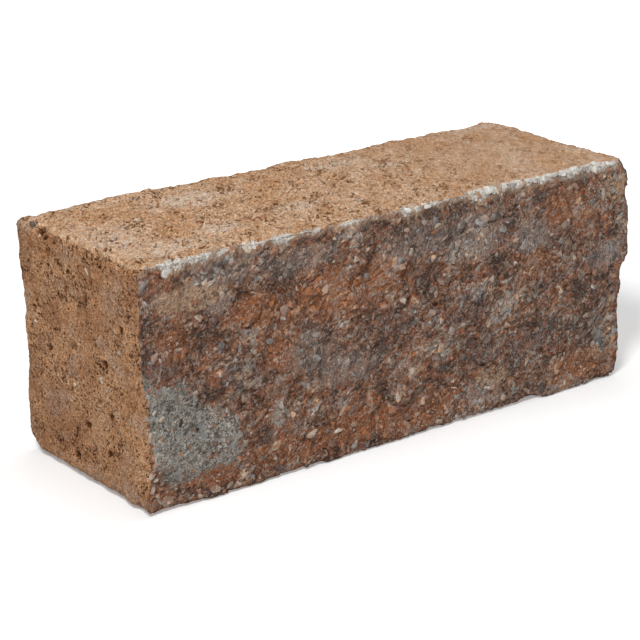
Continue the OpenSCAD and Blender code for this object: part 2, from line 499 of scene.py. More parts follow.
def new_group(kind, name, inputs, outputs):
    """A node group with named sockets, and the sockets of its input and output.

    An input is given as its socket type, or as the number that it starts at."""
    tree = bpy.data.node_groups.new(name, kind)
    for label, value in inputs.items():
        socket_type = value if isinstance(value, str) else FLOAT
        socket = tree.interface.new_socket(label, in_out="INPUT", socket_type=socket_type)
        if socket_type is not value:
            socket.default_value = value
    for label, socket_type in outputs.items():
        tree.interface.new_socket(label, in_out="OUTPUT", socket_type=socket_type)
    return tree, tree.nodes.new("NodeGroupInput").outputs, tree.nodes.new("NodeGroupOutput").inputs


def new_modifier(name, sizes):
    """A modifier's tree with an input for each size, and one for the finish."""
    tree, given, result = new_group(
        "GeometryNodeTree", name, {"Geometry": GEOMETRY, **sizes, "Finish": MATERIAL},
        {"Geometry": GEOMETRY},
    )
    tree.is_modifier = True
    return tree, given, result["Geometry"]


def use_group(tree, name, **feeds):
    """Places a group with its inputs, whose names' spaces are written _."""
    kind = tree.bl_idname.replace("NodeTree", "NodeGroup")
    named_feeds = {key.replace("_", " "): value for key, value in feeds.items()}
    return add(tree, kind, named_feeds, node_tree=bpy.data.node_groups[name]).outputs


def bed_share(tree, outward):
    """1 where the surface is a bed, 0 where it is an end, the back or the front."""
    return remap(tree, calc(tree, "ABSOLUTE", parts(tree, outward)[2]), 0.6, 0.85)


# ============================ Geometry helpers ============================
def named(tree, name, kind="FLOAT"):
    """A field that the blank or a point carries."""
    node = add(tree, "GeometryNodeInputNamedAttribute", {"Name": name}, data_type=kind)
    return node.outputs["Attribute"]


def own_position(tree):
    return add(tree, "GeometryNodeInputPosition").outputs[0]


def keep(tree, geometry, name, value, kind="FLOAT"):
    """Stores a value on each point."""
    return add(tree, "GeometryNodeStoreNamedAttribute",
               {"Geometry": geometry, "Name": name, "Value": value}, data_type=kind).outputs[0]


def keep_map(tree, geometry, name, place):
    """Stores a flat map's place on each corner."""
    return add(tree, "GeometryNodeStoreNamedAttribute",
               {"Geometry": geometry, "Name": name, 3: place},
               domain="CORNER", data_type="FLOAT2").outputs[0]


def made_real(tree, geometry):
    return add(tree, "GeometryNodeRealizeInstances", {"Geometry": geometry}).outputs[0]


def dressed(tree, geometry, finish):
    return add(tree, "GeometryNodeSetMaterial",
               {"Geometry": geometry, "Material": finish}).outputs[0]


def run_tree(host, tree, inputs, name):
    """Runs a Geometry Nodes tree on an object and keeps the result as a mesh."""
    modifier = host.modifiers.new(tree.name, "NODES")
    modifier.node_group = tree
    for item in tree.interface.items_tree:
        if item.in_out == "INPUT" and item.name in inputs:
            modifier[item.identifier] = inputs[item.name]
    depsgraph = bpy.context.evaluated_depsgraph_get()
    mesh = bpy.data.meshes.new_from_object(host.evaluated_get(depsgraph),
                                           preserve_all_data_layers=True,
                                           depsgraph=depsgraph)
    host.modifiers.remove(modifier)
    mesh.name = name
    return show(name, mesh)


# ============================ The stone's relief ============================
RELIEF = {
    "Swell depth": 0.8 * MM, "Swell size": 34 * MM,
    "Skin lump depth": 0.6 * MM, "Skin lump size": 8 * MM,
    "Side crumb depth": 0.75 * MM, "Bed crumb depth": 0.9 * MM, "Crumb size": 3.2 * MM,
    "Pit depth": 2.0 * MM, "Pit width": 4.6 * MM, "Pit spacing": 8 * MM,
    "Side pit share": 0.32, "Bed pit share": 0.2, "Hollow rim size": 2.6 * MM,
    "Arris crumble depth": 1.9 * MM, "Arris crumble size": 17 * MM,
    "Bruise depth": 1.1 * MM,
    "Break size": 26 * MM, "Break tilt": 0.065,
    "Chip size": 10 * MM, "Chip tilt": 0.085,
    "Grit size": 3.6 * MM, "Grit tilt": 0.19,
    "Split crumb depth": 0.4 * MM, "Split crumb size": 3.0 * MM,
    "Seed": 7.0,
}
ARRIS_HOLD = 0.45       # share of the break's relief that is left at an arris
CEMENT_HOLD = 0.4       # and where the break ran through mortar
CRUMBLE_FALL = 1.6      # how quickly the crumbling fades away from an arris


def facet_group():
    """Geometry group: flat facets with random tilts, as a break leaves them."""
    tree, given, result = new_group(
        "GeometryNodeTree", "Tilted facets",
        {"Position": VECTOR, "Size": 0.01, "Tilt": 0.2, "Seed": 0.0}, {"Height": FLOAT},
    )
    shifted = vector_calc(tree, "ADD", given["Position"], given["Seed"])
    place = swayed(tree, shifted, given["Size"], product(tree, given["Size"], 0.7))
    cells = grains(tree, place, given["Size"])
    tilt = vector_calc(tree, "SUBTRACT", cells["Color"], HALVES)
    from_middle = vector_calc(tree, "SUBTRACT", place, cells["Position"])
    slope = vector_calc(tree, "DOT_PRODUCT", from_middle, tilt)
    tree.links.new(product(tree, slope, 2.0, given["Tilt"]), result["Height"])


def pit_group():
    """Geometry group: scattered pits, from 0 between them to 1 in their middle."""
    tree, given, result = new_group(
        "GeometryNodeTree", "Scattered pits",
        {"Position": VECTOR, "Spacing": 0.01, "Width": 0.003, "Share": 0.3, "Seed": 0.0},
        {"Depth": FLOAT},
    )
    width = given["Width"]
    shifted = vector_calc(tree, "ADD", given["Position"], given["Seed"])
    place = swayed(tree, shifted, product(tree, width, 0.6), product(tree, width, 1.7), 3.0, 0.6)
    cells = grains(tree, place, given["Spacing"])
    chance = parts(tree, cells["Color"])
    present = calc(tree, "LESS_THAN", chance[0], given["Share"])
    size = remap(tree, chance[1], 0.0, 1.0, 0.5, 1.0, "LINEAR")
    radius = product(tree, width, size, 0.5)
    # The distance comes out in cells, so the radius is turned into cells too.
    reach = calc(tree, "DIVIDE", radius, given["Spacing"])
    near = calc(tree, "DIVIDE", cells["Distance"], reach)
    tree.links.new(product(tree, remap(tree, near, 1.0, 0.35), present), result["Depth"])


def pit_depth(tree, given, place, bed):
    """Pits scattered over the skin, fewer on the beds, and the placed hollows."""
    share = blended(tree, bed, given["Side pit share"], given["Bed pit share"])
    pits = use_group(tree, "Scattered pits", Position=place, Spacing=given["Pit spacing"],
                     Width=given["Pit width"], Share=share, Seed=given["Seed"])["Depth"]
    ragged = calc(tree, "SUBTRACT", noise(tree, place, given["Hollow rim size"]), 0.5)
    hollow = named(tree, "hollow")
    hollow = remap(tree, calc(tree, "MULTIPLY_ADD", ragged, hollow, hollow), 0.05, 0.6)
    return calc(tree, "MAXIMUM", pits, hollow)


def skin_depth(tree, given, place, bed, pits):
    """How far the cast skin is worn in at a place."""
    crumb_depth = blended(tree, bed, given["Side crumb depth"], given["Bed crumb depth"])
    return weighted_sum(
        tree,
        (lumps(tree, place, given["Swell size"]), given["Swell depth"]),
        (lumps(tree, place, given["Skin lump size"]), given["Skin lump depth"]),
        (lumps(tree, place, given["Crumb size"]), crumb_depth),
        (pits, given["Pit depth"]),
    )


def split_depth(tree, given, place):
    """How far the split face is broken in at a place.

    The break keeps closer to its score line at the arrises, and is smoother
    where it ran through mortar."""
    total = product(tree, lumps(tree, place, given["Split crumb size"]),
                    given["Split crumb depth"])
    for name in ("Break", "Chip", "Grit"):
        size, tilt = given[f"{name} size"], given[f"{name} tilt"]
        height = use_group(tree, "Tilted facets", Position=place, Size=size, Tilt=tilt,
                           Seed=given["Seed"])["Height"]
        spare = product(tree, size, product(tree, tilt, 0.45))
        total = calc(tree, "ADD", total, calc(tree, "ADD", height, spare))
    held = blended(tree, named(tree, "arris"), 1.0, ARRIS_HOLD)
    held = product(tree, held, remap(tree, named(tree, "cement"), 0.0, 0.3, 1.0, CEMENT_HOLD))
    return product(tree, calc(tree, "MAXIMUM", total, 0.0), held)


def relief_tree():
    """Geometry Nodes that wear the cast skin and break the split face."""
    tree, given, result = new_modifier("Stone relief", RELIEF)
    place = vector_calc(tree, "ADD", own_position(tree), given["Seed"])
    outward = named(tree, "outward", "FLOAT_VECTOR")
    bed = bed_share(tree, outward)
    pits = pit_depth(tree, given, place, bed)
    depth = blended(tree, named(tree, "split"), skin_depth(tree, given, place, bed, pits),
                    split_depth(tree, given, place))
    arris = calc(tree, "POWER", named(tree, "arris"), CRUMBLE_FALL)
    bites = product(tree, arris, lumps(tree, place, given["Arris crumble size"], 3.0))
    bruise = calc(tree, "MAXIMUM", named(tree, "bruise"), 0.0)
    worn = weighted_sum(tree, (bites, given["Arris crumble depth"]),
                        (bruise, given["Bruise depth"]), (named(tree, "wear"), 1.0))
    total = calc(tree, "MAXIMUM", calc(tree, "ADD", depth, worn), 0.0)
    kept = keep(tree, given["Geometry"], "pit", pits)
    moved = add(tree, "GeometryNodeSetPosition",
                {"Geometry": kept, "Offset": scaled(tree, outward, product(tree, total, -1.0))})
    real = made_real(tree, moved.outputs[0])
    tree.links.new(dressed(tree, real, given["Finish"]), result)
    return tree


# ============================ Stones and crumbs ============================
AGGREGATE = {
    "Spacing": 2.9 * MM, "Smallest": 1.5 * MM, "Largest": 4.8 * MM, "Flatness": 0.34,
    "Sunk": 0.5, "Roughness": 0.6, "Seed": 3,
}
CRUSHED = {
    "Spacing": 2.3 * MM, "Smallest": 2.0 * MM, "Largest": 5.2 * MM, "Flatness": 0.5,
    "Sunk": 0.62, "Roughness": 0.5, "Seed": 17,
}
CRUMBS = {
    "Spacing": 2.7 * MM, "Smallest": 1.2 * MM, "Largest": 3.0 * MM, "Flatness": 0.6,
    "Sunk": 0.5, "Roughness": 0.35, "Seed": 11,
}
PLACED = {"Flatness": 0.42, "Roughness": 0.5}
MOST_POINTS = 1e6       # per square metre, so that only the spacing limits them
LONGEST = 0.7           # how much longer than wide the longest stone is
# Fewer stones are clean of paste the higher they lie: the power that their
# random number is raised to, and the heights between which it rises.
CLEAN_POWERS = (0.75, 2.4)
CLEAN_HEIGHTS = (12 * MM, 34 * MM)


def seated_group():
    """Geometry group: a rough little stone sunk in the surface at each point."""
    tree, given, result = new_group(
        "GeometryNodeTree", "Seated stones",
        {"Points": GEOMETRY, "Rotation": ROTATION, "Girth": 0.003, "Stretch": 1.0,
         "Flatness": 0.4, "Roughness": 0.4, "Subdivisions": INTEGER, "Smooth": SWITCH,
         "Finish": MATERIAL},
        {"Geometry": GEOMETRY},
    )
    # Each stone's map goes in a cell of its own on a square sheet.
    count = add(tree, "GeometryNodeAttributeDomainSize", {0: given["Points"]},
                component="POINTCLOUD").outputs["Point Count"]
    across = calc(tree, "CEIL", calc(tree, "SQRT", count))
    index = add(tree, "GeometryNodeInputIndex").outputs[0]
    row = calc(tree, "FLOOR", calc(tree, "DIVIDE", index, across))
    cell = joined(tree, calc(tree, "MODULO", index, across), row)
    points = keep(tree, given["Points"], "cell", cell, "FLOAT_VECTOR")
    points = keep(tree, points, "girth", given["Girth"])
    ball = add(tree, "GeometryNodeMeshIcoSphere",
               {"Radius": 0.5, "Subdivisions": given["Subdivisions"]}).outputs
    ball = keep_map(tree, ball["Mesh"], "spot", ball["UV Map"])
    size = joined(tree, product(tree, given["Girth"], given["Stretch"]), given["Girth"],
                  product(tree, given["Girth"], given["Flatness"]))
    stones = add(tree, "GeometryNodeInstanceOnPoints",
                 {"Points": points, "Instance": ball, "Rotation": given["Rotation"],
                  "Scale": size}).outputs[0]
    stones = made_real(tree, stones)
    girth = named(tree, "girth")
    reach = product(tree, girth, given["Roughness"], 2.0)
    place = swayed(tree, own_position(tree), girth, reach, 1.0)
    place = vector_calc(tree, "MINIMUM", place, tuple(HIGH))
    place = vector_calc(tree, "MAXIMUM", place, tuple(LOW))
    stones = add(tree, "GeometryNodeSetPosition",
                 {"Geometry": stones, "Position": place}).outputs[0]
    stones = add(tree, "GeometryNodeSetShadeSmooth",
                 {"Geometry": stones, "Shade Smooth": given["Smooth"]}).outputs[0]
    spot = vector_calc(tree, "ADD", named(tree, "spot", "FLOAT_VECTOR"),
                       named(tree, "cell", "FLOAT_VECTOR"))
    stones = keep_map(tree, stones, "OFBake", scaled(tree, spot, inverse(tree, across)))
    tree.links.new(dressed(tree, stones, given["Finish"]), result["Geometry"])


def random_value(tree, seed, offset):
    """A fixed random number from 0 to 1 for each point."""
    return add(tree, "FunctionNodeRandomValue",
               {2: 0.0, 3: 1.0, "Seed": calc(tree, "ADD", seed, offset)}).outputs[1]


def scatter_tree(name, sizes, share_of, subdivisions, smooth):
    """Geometry Nodes that scatter stones over a surface, where share_of says so."""
    tree, given, result = new_modifier(name, sizes)
    seed = given["Seed"]
    spread = add(tree, "GeometryNodeDistributePointsOnFaces",
                 {"Mesh": given["Geometry"], "Distance Min": given["Spacing"],
                  "Density Max": MOST_POINTS, "Density Factor": share_of(tree), "Seed": seed},
                 distribute_method="POISSON").outputs
    points = add(tree, "GeometryNodeRemoveAttribute",
                 {"Geometry": spread["Points"], "Name": "OFBake"}).outputs[0]
    points = keep(tree, points, "tone", random_value(tree, seed, 1))
    height = parts(tree, own_position(tree))[2]
    clean = calc(tree, "POWER", random_value(tree, seed, 5),
                 remap(tree, height, *CLEAN_HEIGHTS, *CLEAN_POWERS))
    points = keep(tree, points, "clean", clean)
    # Most are small: the square of a random number.
    chance = random_value(tree, seed, 2)
    reach = calc(tree, "SUBTRACT", given["Largest"], given["Smallest"])
    girth = calc(tree, "MULTIPLY_ADD", product(tree, chance, chance), reach, given["Smallest"])
    thickness = product(tree, girth, given["Flatness"])
    sunk = product(tree, thickness, product(tree, given["Sunk"], -0.5))
    points = add(tree, "GeometryNodeSetPosition",
                 {"Geometry": points, "Offset": scaled(tree, spread["Normal"], sunk)})
    angle = product(tree, random_value(tree, seed, 3), math.tau)
    spin = add(tree, "FunctionNodeAxisAngleToRotation", {"Axis": (0, 0, 1), "Angle": angle})
    turned = add(tree, "FunctionNodeRotateRotation",
                 {"Rotation": spread["Rotation"], "Rotate By": spin.outputs[0]},
                 rotation_space="LOCAL").outputs[0]
    stretch = calc(tree, "ADD", 1.0, product(tree, random_value(tree, seed, 4), LONGEST))
    stones = use_group(tree, "Seated stones", Points=points.outputs[0], Rotation=turned,
                       Girth=girth, Stretch=stretch, Flatness=given["Flatness"],
                       Roughness=given["Roughness"], Subdivisions=subdivisions,
                       Smooth=smooth, Finish=given["Finish"])["Geometry"]
    tree.links.new(stones, result)
    return tree


def aggregate_share(tree):
    """Stones show all over the split face, and thickest along the bottom bed.

    Fewer show on cement and bruises."""
    here = own_position(tree)
    crowd = remap(tree, noise(tree, here, 14 * MM), 0.35, 0.6, 0.2, 0.75)
    by_bed = remap(tree, parts(tree, here)[2], 28 * MM, 12 * MM)
    crowd = calc(tree, "MAXIMUM", crowd, by_bed)
    bare = calc(tree, "MAXIMUM", product(tree, named(tree, "cement"), 1.6),
                product(tree, named(tree, "bruise"), 4.0))
    bare = remap(tree, bare, 0.0, 1.0, 1.0, 0.15)
    split = remap(tree, named(tree, "split"), 0.7, 1.0)
    clear = remap(tree, named(tree, "arris"), 0.85, 0.6)
    return product(tree, product(tree, crowd, bare), product(tree, split, clear))


def crumb_share(tree):
    """Crumbs lie thick on the beds, and thin on the ends and the back."""
    here = own_position(tree)
    crowd = remap(tree, noise(tree, here, 11 * MM), 0.35, 0.6, 0.35, 1.0)
    bed = bed_share(tree, named(tree, "outward", "FLOAT_VECTOR"))
    cast = remap(tree, named(tree, "split"), 0.0, 0.3, 1.0, 0.0)
    loose, pressed = (place * MM for place in PRESSED_MM)
    on_bed = remap(tree, parts(tree, here)[0], loose, pressed, 0.95, 0.45)
    off_arris = remap(tree, named(tree, "arris"), 0.55, 0.8, 1.0, 0.15)
    return product(tree, product(tree, crowd, cast),
                   product(tree, off_arris, blended(tree, bed, 0.3, on_bed)))


def bruise_share(tree):
    """Crushed grains lie where the top split arris is bruised, fewer on the left."""
    along = parts(tree, own_position(tree))[0]
    return product(tree, remap(tree, named(tree, "bruise"), 0.0, 0.45, 0.0, 0.9),
                   remap(tree, along, -40 * MM, 40 * MM, 0.3, 1.0))


# Stones that stand out, by the side they are on: their place on it, length and
# width in mm, turn in degrees and tone. The place is x and z on the split face,
# y and z on the left end, and x and y on the top bed.
# Stones in this near-black tone stand in for the slots in the cement patch: painted shade where a
# slot would be.
SLOT_SHADE_TONE = 0.0         # of a dark slot in the cement patch
PLACED_STONES_MM = {
    "split": [
        (-78, 69, 6.5, 3.6, 5, 0.60), (-109, 91, 5.5, 2.2, 58, 0.66),
        (-54.5, 18, 7.0, 3.2, 28, 0.90), (-61, 6.5, 6.0, 1.8, 84, 0.90),
        (-90, 76, 3.6, 2.4, 20, 0.62), (-87, 72, 4.6, 1.8, 52, 0.88),
        (-69, 82, 6.0, 5.0, 40, 0.50), (-55, 90, 7.5, 2.2, 50, 0.86),
        (-108, 65, 5.0, 4.2, 12, 0.20), (-143.4, 39, 7.5, 3.2, 78, 0.75),
        (-144.2, 47.5, 3.8, 3.2, 20, 0.72), (-141.5, 50, 2.8, 1.8, 75, 0.95),
        (-144, 55, 4.4, 3.4, 60, 0.45), (-137.8, 46, 3.4, 2.8, 30, 0.88),
        (-141.6, 25, 4.4, 3.2, 40, 0.46), (-143.8, 19, 4.6, 3.4, 60, 0.90),
        (-140.6, 17, 3.6, 2.2, 5, 0.92), (-142.6, 12.5, 5.5, 2.8, 70, 0.88),
        (-138, 20, 5.0, 4.0, 30, 0.30), (-130, 17.5, 6.5, 5.0, 100, 0.66),
        (-136, 5.5, 6.0, 4.4, 20, 0.46), (-122, 4.5, 4.6, 3.2, 20, 0.92),
        (-117, 3, 3.6, 2.4, 0, 0.90), (-109, 5, 6.0, 4.0, 10, 0.90),
        (-101, 4, 4.6, 3.0, 20, 0.76), (-93, 7, 5.6, 3.4, 30, 0.86),
        (-94, 23, 5.6, 4.0, 40, 0.78), (-96, 36, 4.4, 3.8, 0, 0.78),
        (-116, 40, 4.6, 3.8, 20, 0.72), (-146, 109, 5.5, 3.6, 70, 0.64),
        (67, 99, 4.4, 3.2, 0, 0.97), (82.5, 24, 4.0, 2.8, 30, 0.88),
        (37, 13.5, 4.0, 3.6, 20, 0.78), (106, 90, 6.0, 4.2, 50, 0.50),
        (132, 101.6, 6.4, 3.8, 95, 0.90), (138.5, 101.7, 4.6, 3.6, 80, 0.76),
        (145.5, 108, 4.0, 3.0, 20, 0.86), (140.7, 109.6, 5.0, 3.6, 40, 0.62),
        (123.7, 99.2, 5.0, 4.0, 30, 0.64), (110.5, 107.2, 3.6, 3.0, 30, 0.86),
        (130, 22, 4.4, 3.4, 30, 0.78), (20, 106, 5.0, 3.0, 20, 0.86),
        (-20, 88, 5.0, 2.6, 140, 0.64), (4, 52, 5.0, 3.0, 100, 0.14),
        # The two stones in the slot tone are the painted shade of the cement patch's slots.
        (-98, 26, 4.6, 2.6, 120, 0.72), (-127.6, 41.2, 5.2, 2.0, 70, SLOT_SHADE_TONE),
        (-117.9, 35.3, 4.4, 1.8, 155, SLOT_SHADE_TONE), (-84, 18, 3.6, 2.6, 30, 0.66),
        (-74, 28, 4.2, 2.2, 150, 0.70),
    ],
    "end": [
        (40, 115.4, 6.6, 4.2, 10, 0.05), (31.5, 112.3, 2.8, 2.0, 40, 0.90),
        (-15, 56, 4.6, 3.4, 100, 0.92), (39.5, 69, 2.6, 2.0, 30, 0.95),
        (-9, 106, 4.4, 2.6, 150, 0.90), (-31, 74, 3.2, 2.6, 0, 0.74),
        (-19, 52, 3.4, 2.6, 60, 0.78), (8, 47, 2.8, 2.2, 20, 0.97), (-40, 44, 3.0, 1.8, 80, 0.74),
    ],
    "top": [
        (25, 33, 6.0, 4.0, 10, 0.92), (9, 34, 5.0, 3.6, 60, 0.86), (-70, 26, 5.0, 3.4, 20, 0.86),
        (47, 15, 5.0, 4.2, 120, 0.92), (70, -18, 5.0, 4.2, 80, 0.86),
        (-6, -24, 3.6, 2.8, 60, 0.80), (104, 22, 4.2, 3.0, 160, 0.92),
        (-108, 12, 3.8, 3.0, 30, 0.86),
    ],
}
CLEAN_SPLIT_STONE, CLEAN_STONE = 0.75, 1.5      # how free of paste they are
# Each side's way along and way out.
SIDE_WAYS = {
    "split": ((1, 0, 0), (0, -1, 0)), "end": ((0, -1, 0), (-1, 0, 0)),
    "top": ((1, 0, 0), (0, 0, 1)),
}
OUTSIDE = 20 * MM
SEAT_DEPTH = 0.1 * MM


def stone_seat(tree, side, u, v, turn):
    """Where a placed stone sits on the finished surface, and its rotation."""
    starts = {
        "split": (u * MM, LOW[1] - OUTSIDE, v * MM),
        "end": (LOW[0] - OUTSIDE, u * MM, v * MM),
        "top": (u * MM, v * MM, HIGH[2] + OUTSIDE),
    }
    along, out = (Vector(way) for way in SIDE_WAYS[side])
    place = tree.ray_cast(Vector(starts[side]), -out)[0]
    angle = math.radians(turn)
    long_way = along * math.cos(angle) + out.cross(along) * math.sin(angle)
    rotation = Matrix((long_way, out.cross(long_way), out)).transposed().to_euler()
    return place - out * SEAT_DEPTH, rotation


def placed_points(stone):
    """A mesh of bare points, one for each placed stone, with its sizes."""
    tree = BVHTree.FromObject(stone, bpy.context.evaluated_depsgraph_get())
    rows = [(side, *row) for side, rows in PLACED_STONES_MM.items() for row in rows]
    seats = [stone_seat(tree, side, u, v, turn) for side, u, v, _, _, turn, _ in rows]
    mesh = bpy.data.meshes.new("placed_points")
    mesh.from_pydata([place for place, _ in seats], [], [])
    set_field(mesh, "turn", [rotation[:] for _, rotation in seats], "FLOAT_VECTOR")
    set_field(mesh, "girth", [width * MM for _, _, _, _, width, _, _ in rows])
    set_field(mesh, "stretch", [length / width for _, _, _, length, width, _, _ in rows])
    set_field(mesh, "tone", [row[-1] for row in rows])
    set_field(mesh, "clean", [
        CLEAN_SPLIT_STONE if row[0] == "split" and row[-1] > SLOT_SHADE_TONE else CLEAN_STONE
        for row in rows])
    return show("placed_points", mesh)


def placed_tree():
    """Geometry Nodes that make the placed stones on their points."""
    tree, given, result = new_modifier("Placed stones", PLACED)
    points = add(tree, "GeometryNodeMeshToPoints", {"Mesh": given["Geometry"]}).outputs[0]
    rotation = add(tree, "FunctionNodeEulerToRotation",
                   {0: named(tree, "turn", "FLOAT_VECTOR")}).outputs[0]
    stones = use_group(tree, "Seated stones", Points=points, Rotation=rotation,
                       Girth=named(tree, "girth"), Stretch=named(tree, "stretch"),
                       Flatness=given["Flatness"], Roughness=given["Roughness"],
                       Subdivisions=1, Smooth=False, Finish=given["Finish"])["Geometry"]
    tree.links.new(stones, result)
    return tree


# ============================ Finish helpers ============================
ZONE_ROUGHNESS = 0.62   # of the noise that breaks up the rim of a zone


def mix(tree, factor, first, second, blend="MIX"):
    """Two colours mixed by a factor."""
    node = add(tree, "ShaderNodeMix", {0: factor}, data_type="RGBA", blend_type=blend)
    for socket, value in ((node.inputs[6], first), (node.inputs[7], second)):
        if is_socket(value):
            tree.links.new(value, socket)
        else:
            socket.default_value = (*value, 1)
    return node.outputs[2]


def laid_over(tree, colour, tint, mask, strength):
    """A colour with a tint laid over it where the mask is, at that strength."""
    return mix(tree, product(tree, mask, strength), colour, tint)


def ramp(tree, value, stops, interpolation="LINEAR"):
    """A colour ramp through (place, colour) stops."""
    node = add(tree, "ShaderNodeValToRGB", {"Fac": value})
    node.color_ramp.interpolation = interpolation
    elements = node.color_ramp.elements
    while len(elements) < len(stops):
        elements.new(0.5)
    for element, (place, colour) in zip(elements, stops):
        element.position = place
        element.color = (*colour, 1)
    return node.outputs["Color"]


def tinted(tree, colour, value, stops):
    """A colour multiplied by a grey or tinted ramp over a value."""
    return mix(tree, 1.0, colour, ramp(tree, value, stops), "MULTIPLY")


def mottle(tree, place, size, fold):
    return use_group(tree, "Mottle", Place=place, Size=size, Fold=fold)["Fac"]


def gaps_mask(tree, place, sizes, share):
    """The mask of crooked gaps, with their sizes from a face's table."""
    return use_group(tree, "Crooked gaps", Place=place, Size=sizes["gap"],
                     Cluster=sizes["gap cluster"], Share=share)["Mask"]


def holes_mask(tree, place, name, share, reach):
    """The mask of the small or the large holes of the moulded sides."""
    return use_group(tree, "Holes", Place=place, Size=SIDE_MM[name], Share=share,
                     Reach=reach, Cluster=SIDE_MM[f"{name} cluster"])["Mask"]


def zone_mask(tree, place, depth, border, ragged, soft, detail=3.0):
    """1 inside a zone and 0 outside it, where depth is above 0 inside.

    Lumps that are about border wide break up its rim."""
    borders = noise(tree, place, border, detail, ZONE_ROUGHNESS)
    return use_group(tree, "Ragged zone", Field=depth, Lumps=borders, Ragged=ragged,
                     Soft=soft)["Mask"]


def field(tree, name, shift=0.0):
    """A field that the blank or a stone carries, moved up or down by a shift."""
    value = add(tree, "ShaderNodeAttribute", attribute_name=name).outputs["Fac"]
    return calc(tree, "ADD", value, shift) if shift else value


def drawn_out(tree, place, turn, stretch):
    """The place with patterns stretched along a slant, which turn is in degrees."""
    slant = add(tree, "ShaderNodeMapping", {"Vector": place}, vector_type="TEXTURE")
    slant.inputs["Rotation"].default_value = [math.radians(part) for part in turn]
    slant.inputs["Scale"].default_value = stretch
    return slant.outputs[0]


def slanted(tree, place):
    """The place drawn out along the slant in which the break smeared its fines."""
    return drawn_out(tree, place, (0, -25, 0), (1.35, 1.0, 0.9))


def new_finish(name):
    """An empty material, its tree, and the place in mm that its patterns read."""
    material = bpy.data.materials.new(name)
    material.use_nodes = True
    tree = material.node_tree
    tree.nodes.clear()
    place = scaled(tree, add(tree, "ShaderNodeTexCoord").outputs["Object"], 1 / MM)
    return material, tree, place


def finish_surface(tree, colour, height, roughness):
    """Wires a matt surface with this colour, and this height in mm as bump."""
    bump = add(tree, "ShaderNodeBump", {"Height": height, "Strength": 1.0, "Distance": MM})
    shader = add(tree, "ShaderNodeBsdfPrincipled",
                 {"Base Color": colour, "Normal": bump.outputs[0], "Roughness": roughness,
                  "Specular IOR Level": 0.25})
    add(tree, "ShaderNodeOutputMaterial", {"Surface": shader.outputs[0]})


# ============================ Colours and sizes of the finishes ============================
# Colours are linear red, green and blue, and stops are (place, colour). The
# sizes of the patterns are in mm.
PLAIN = (1.0, 1.0, 1.0)
SIDE_TAN = (0.590, 0.322, 0.166)
SIDE_BROWN = (0.448, 0.217, 0.102)
SIDE_PALLID = (0.480, 0.310, 0.212)
BED_SAND = (0.645, 0.414, 0.258)
BED_OCHRE = (0.572, 0.325, 0.172)
BLOOM = (0.720, 0.610, 0.510)
BRUISE = (0.740, 0.690, 0.630)
# Painted shade between the crushed lumps of a bruise.
BRUISE_PAINTED_SHADE = tuple(0.6 * part for part in BRUISE)
BRUISE_RIM = (0.500, 0.335, 0.225)
# Painted shade laid into the gaps of the split face.
SPLIT_GAP_SHADE = (0.062, 0.035, 0.025)
BEIGE_DARK, BEIGE_LIGHT = (0.36, 0.215, 0.128), (0.66, 0.47, 0.32)
CEMENT_STAIN = (0.330, 0.190, 0.115)
CEMENT_PEBBLE = (0.325, 0.328, 0.315)
CEMENT_BRICK = (0.440, 0.205, 0.095)

SIDE_MM = {
    "drift": 24.0, "smooth patch": 15.0, "cloud": 3.4, "sand": 0.9, "gap": 1.35,
    "gap cluster": 9.0, "small hole": 1.35, "small hole cluster": 8.0,
    "large hole": 2.7, "large hole cluster": 14.0,
}
BED_MM = {
    "drift": 20.0, "cloud": 4.5, "crumb": 2.2, "sand": 0.9, "bloom border": 9.0,
    "dusting": 2.4, "gap": 1.7, "gap cluster": 7.0,
}
SPLIT_MM = {
    "grain": 0.85, "small stone": 1.9, "large stone": 4.6, "beige border": 8.0,
    "gap": 2.0, "gap cluster": 9.0, "rim border": 3.5, "grit": 1.6,
}
PASTE_MM = {"broad": 22.0, "wide": 6.5, "narrow": 2.0, "hue": 4.5, "border": 10.0}
CEMENT_MM = {
    "border": 8.0, "grain": 0.7, "fine": 1.0, "cloud": 3.0, "stain": 4.5,
    "pebble": 4.5, "brick": 1.7,
}
PASTE_DEPTH, CEMENT_DEPTH = 0.770, 0.820        # higher is darker

# The painted shade that darkens a hole or a gap of the skin, from its rim to its bottom: first on
# the sides, then on the beds.
PORE_SHADE_TINTS = [(0.0, PLAIN), (0.4, (0.72, 0.57, 0.43)), (1.0, (0.17, 0.115, 0.08))]
GAP_SHADE_TINTS = [(0.0, PLAIN), (0.5, (0.80, 0.66, 0.52)), (1.0, (0.42, 0.29, 0.19))]
# How the fine patches of the cast skin drift, from rusty to pallid.
SKIN_DRIFT = [(0.36, (1.04, 0.95, 0.85)), (0.50, PLAIN), (0.64, (0.95, 1.03, 1.13))]
CRUMB_TINTS = [
    (0.0, PLAIN), (0.05, (0.86, 0.84, 0.82)), (0.75, (1.12, 1.12, 1.12)),
    (1.0, (1.32, 1.36, 1.40)),
]
# The cloud and sand tints of the sides follow the same noise as their bump: over the paste's own
# tone they paint shade into the low parts and highlight onto the raised parts.
SIDE_CLOUD_TONE_AND_PAINTED_LIGHT = [(0.32, (0.70, 0.62, 0.55)), (0.5, PLAIN), (0.7, (1.17, 1.23, 1.29))]
SIDE_SAND_TONE_AND_PAINTED_LIGHT = [
    (0.32, (0.50, 0.39, 0.30)), (0.45, (0.90, 0.87, 0.83)), (0.56, (1.06, 1.10, 1.15)),
    (0.70, (1.56, 1.80, 2.06)),
]
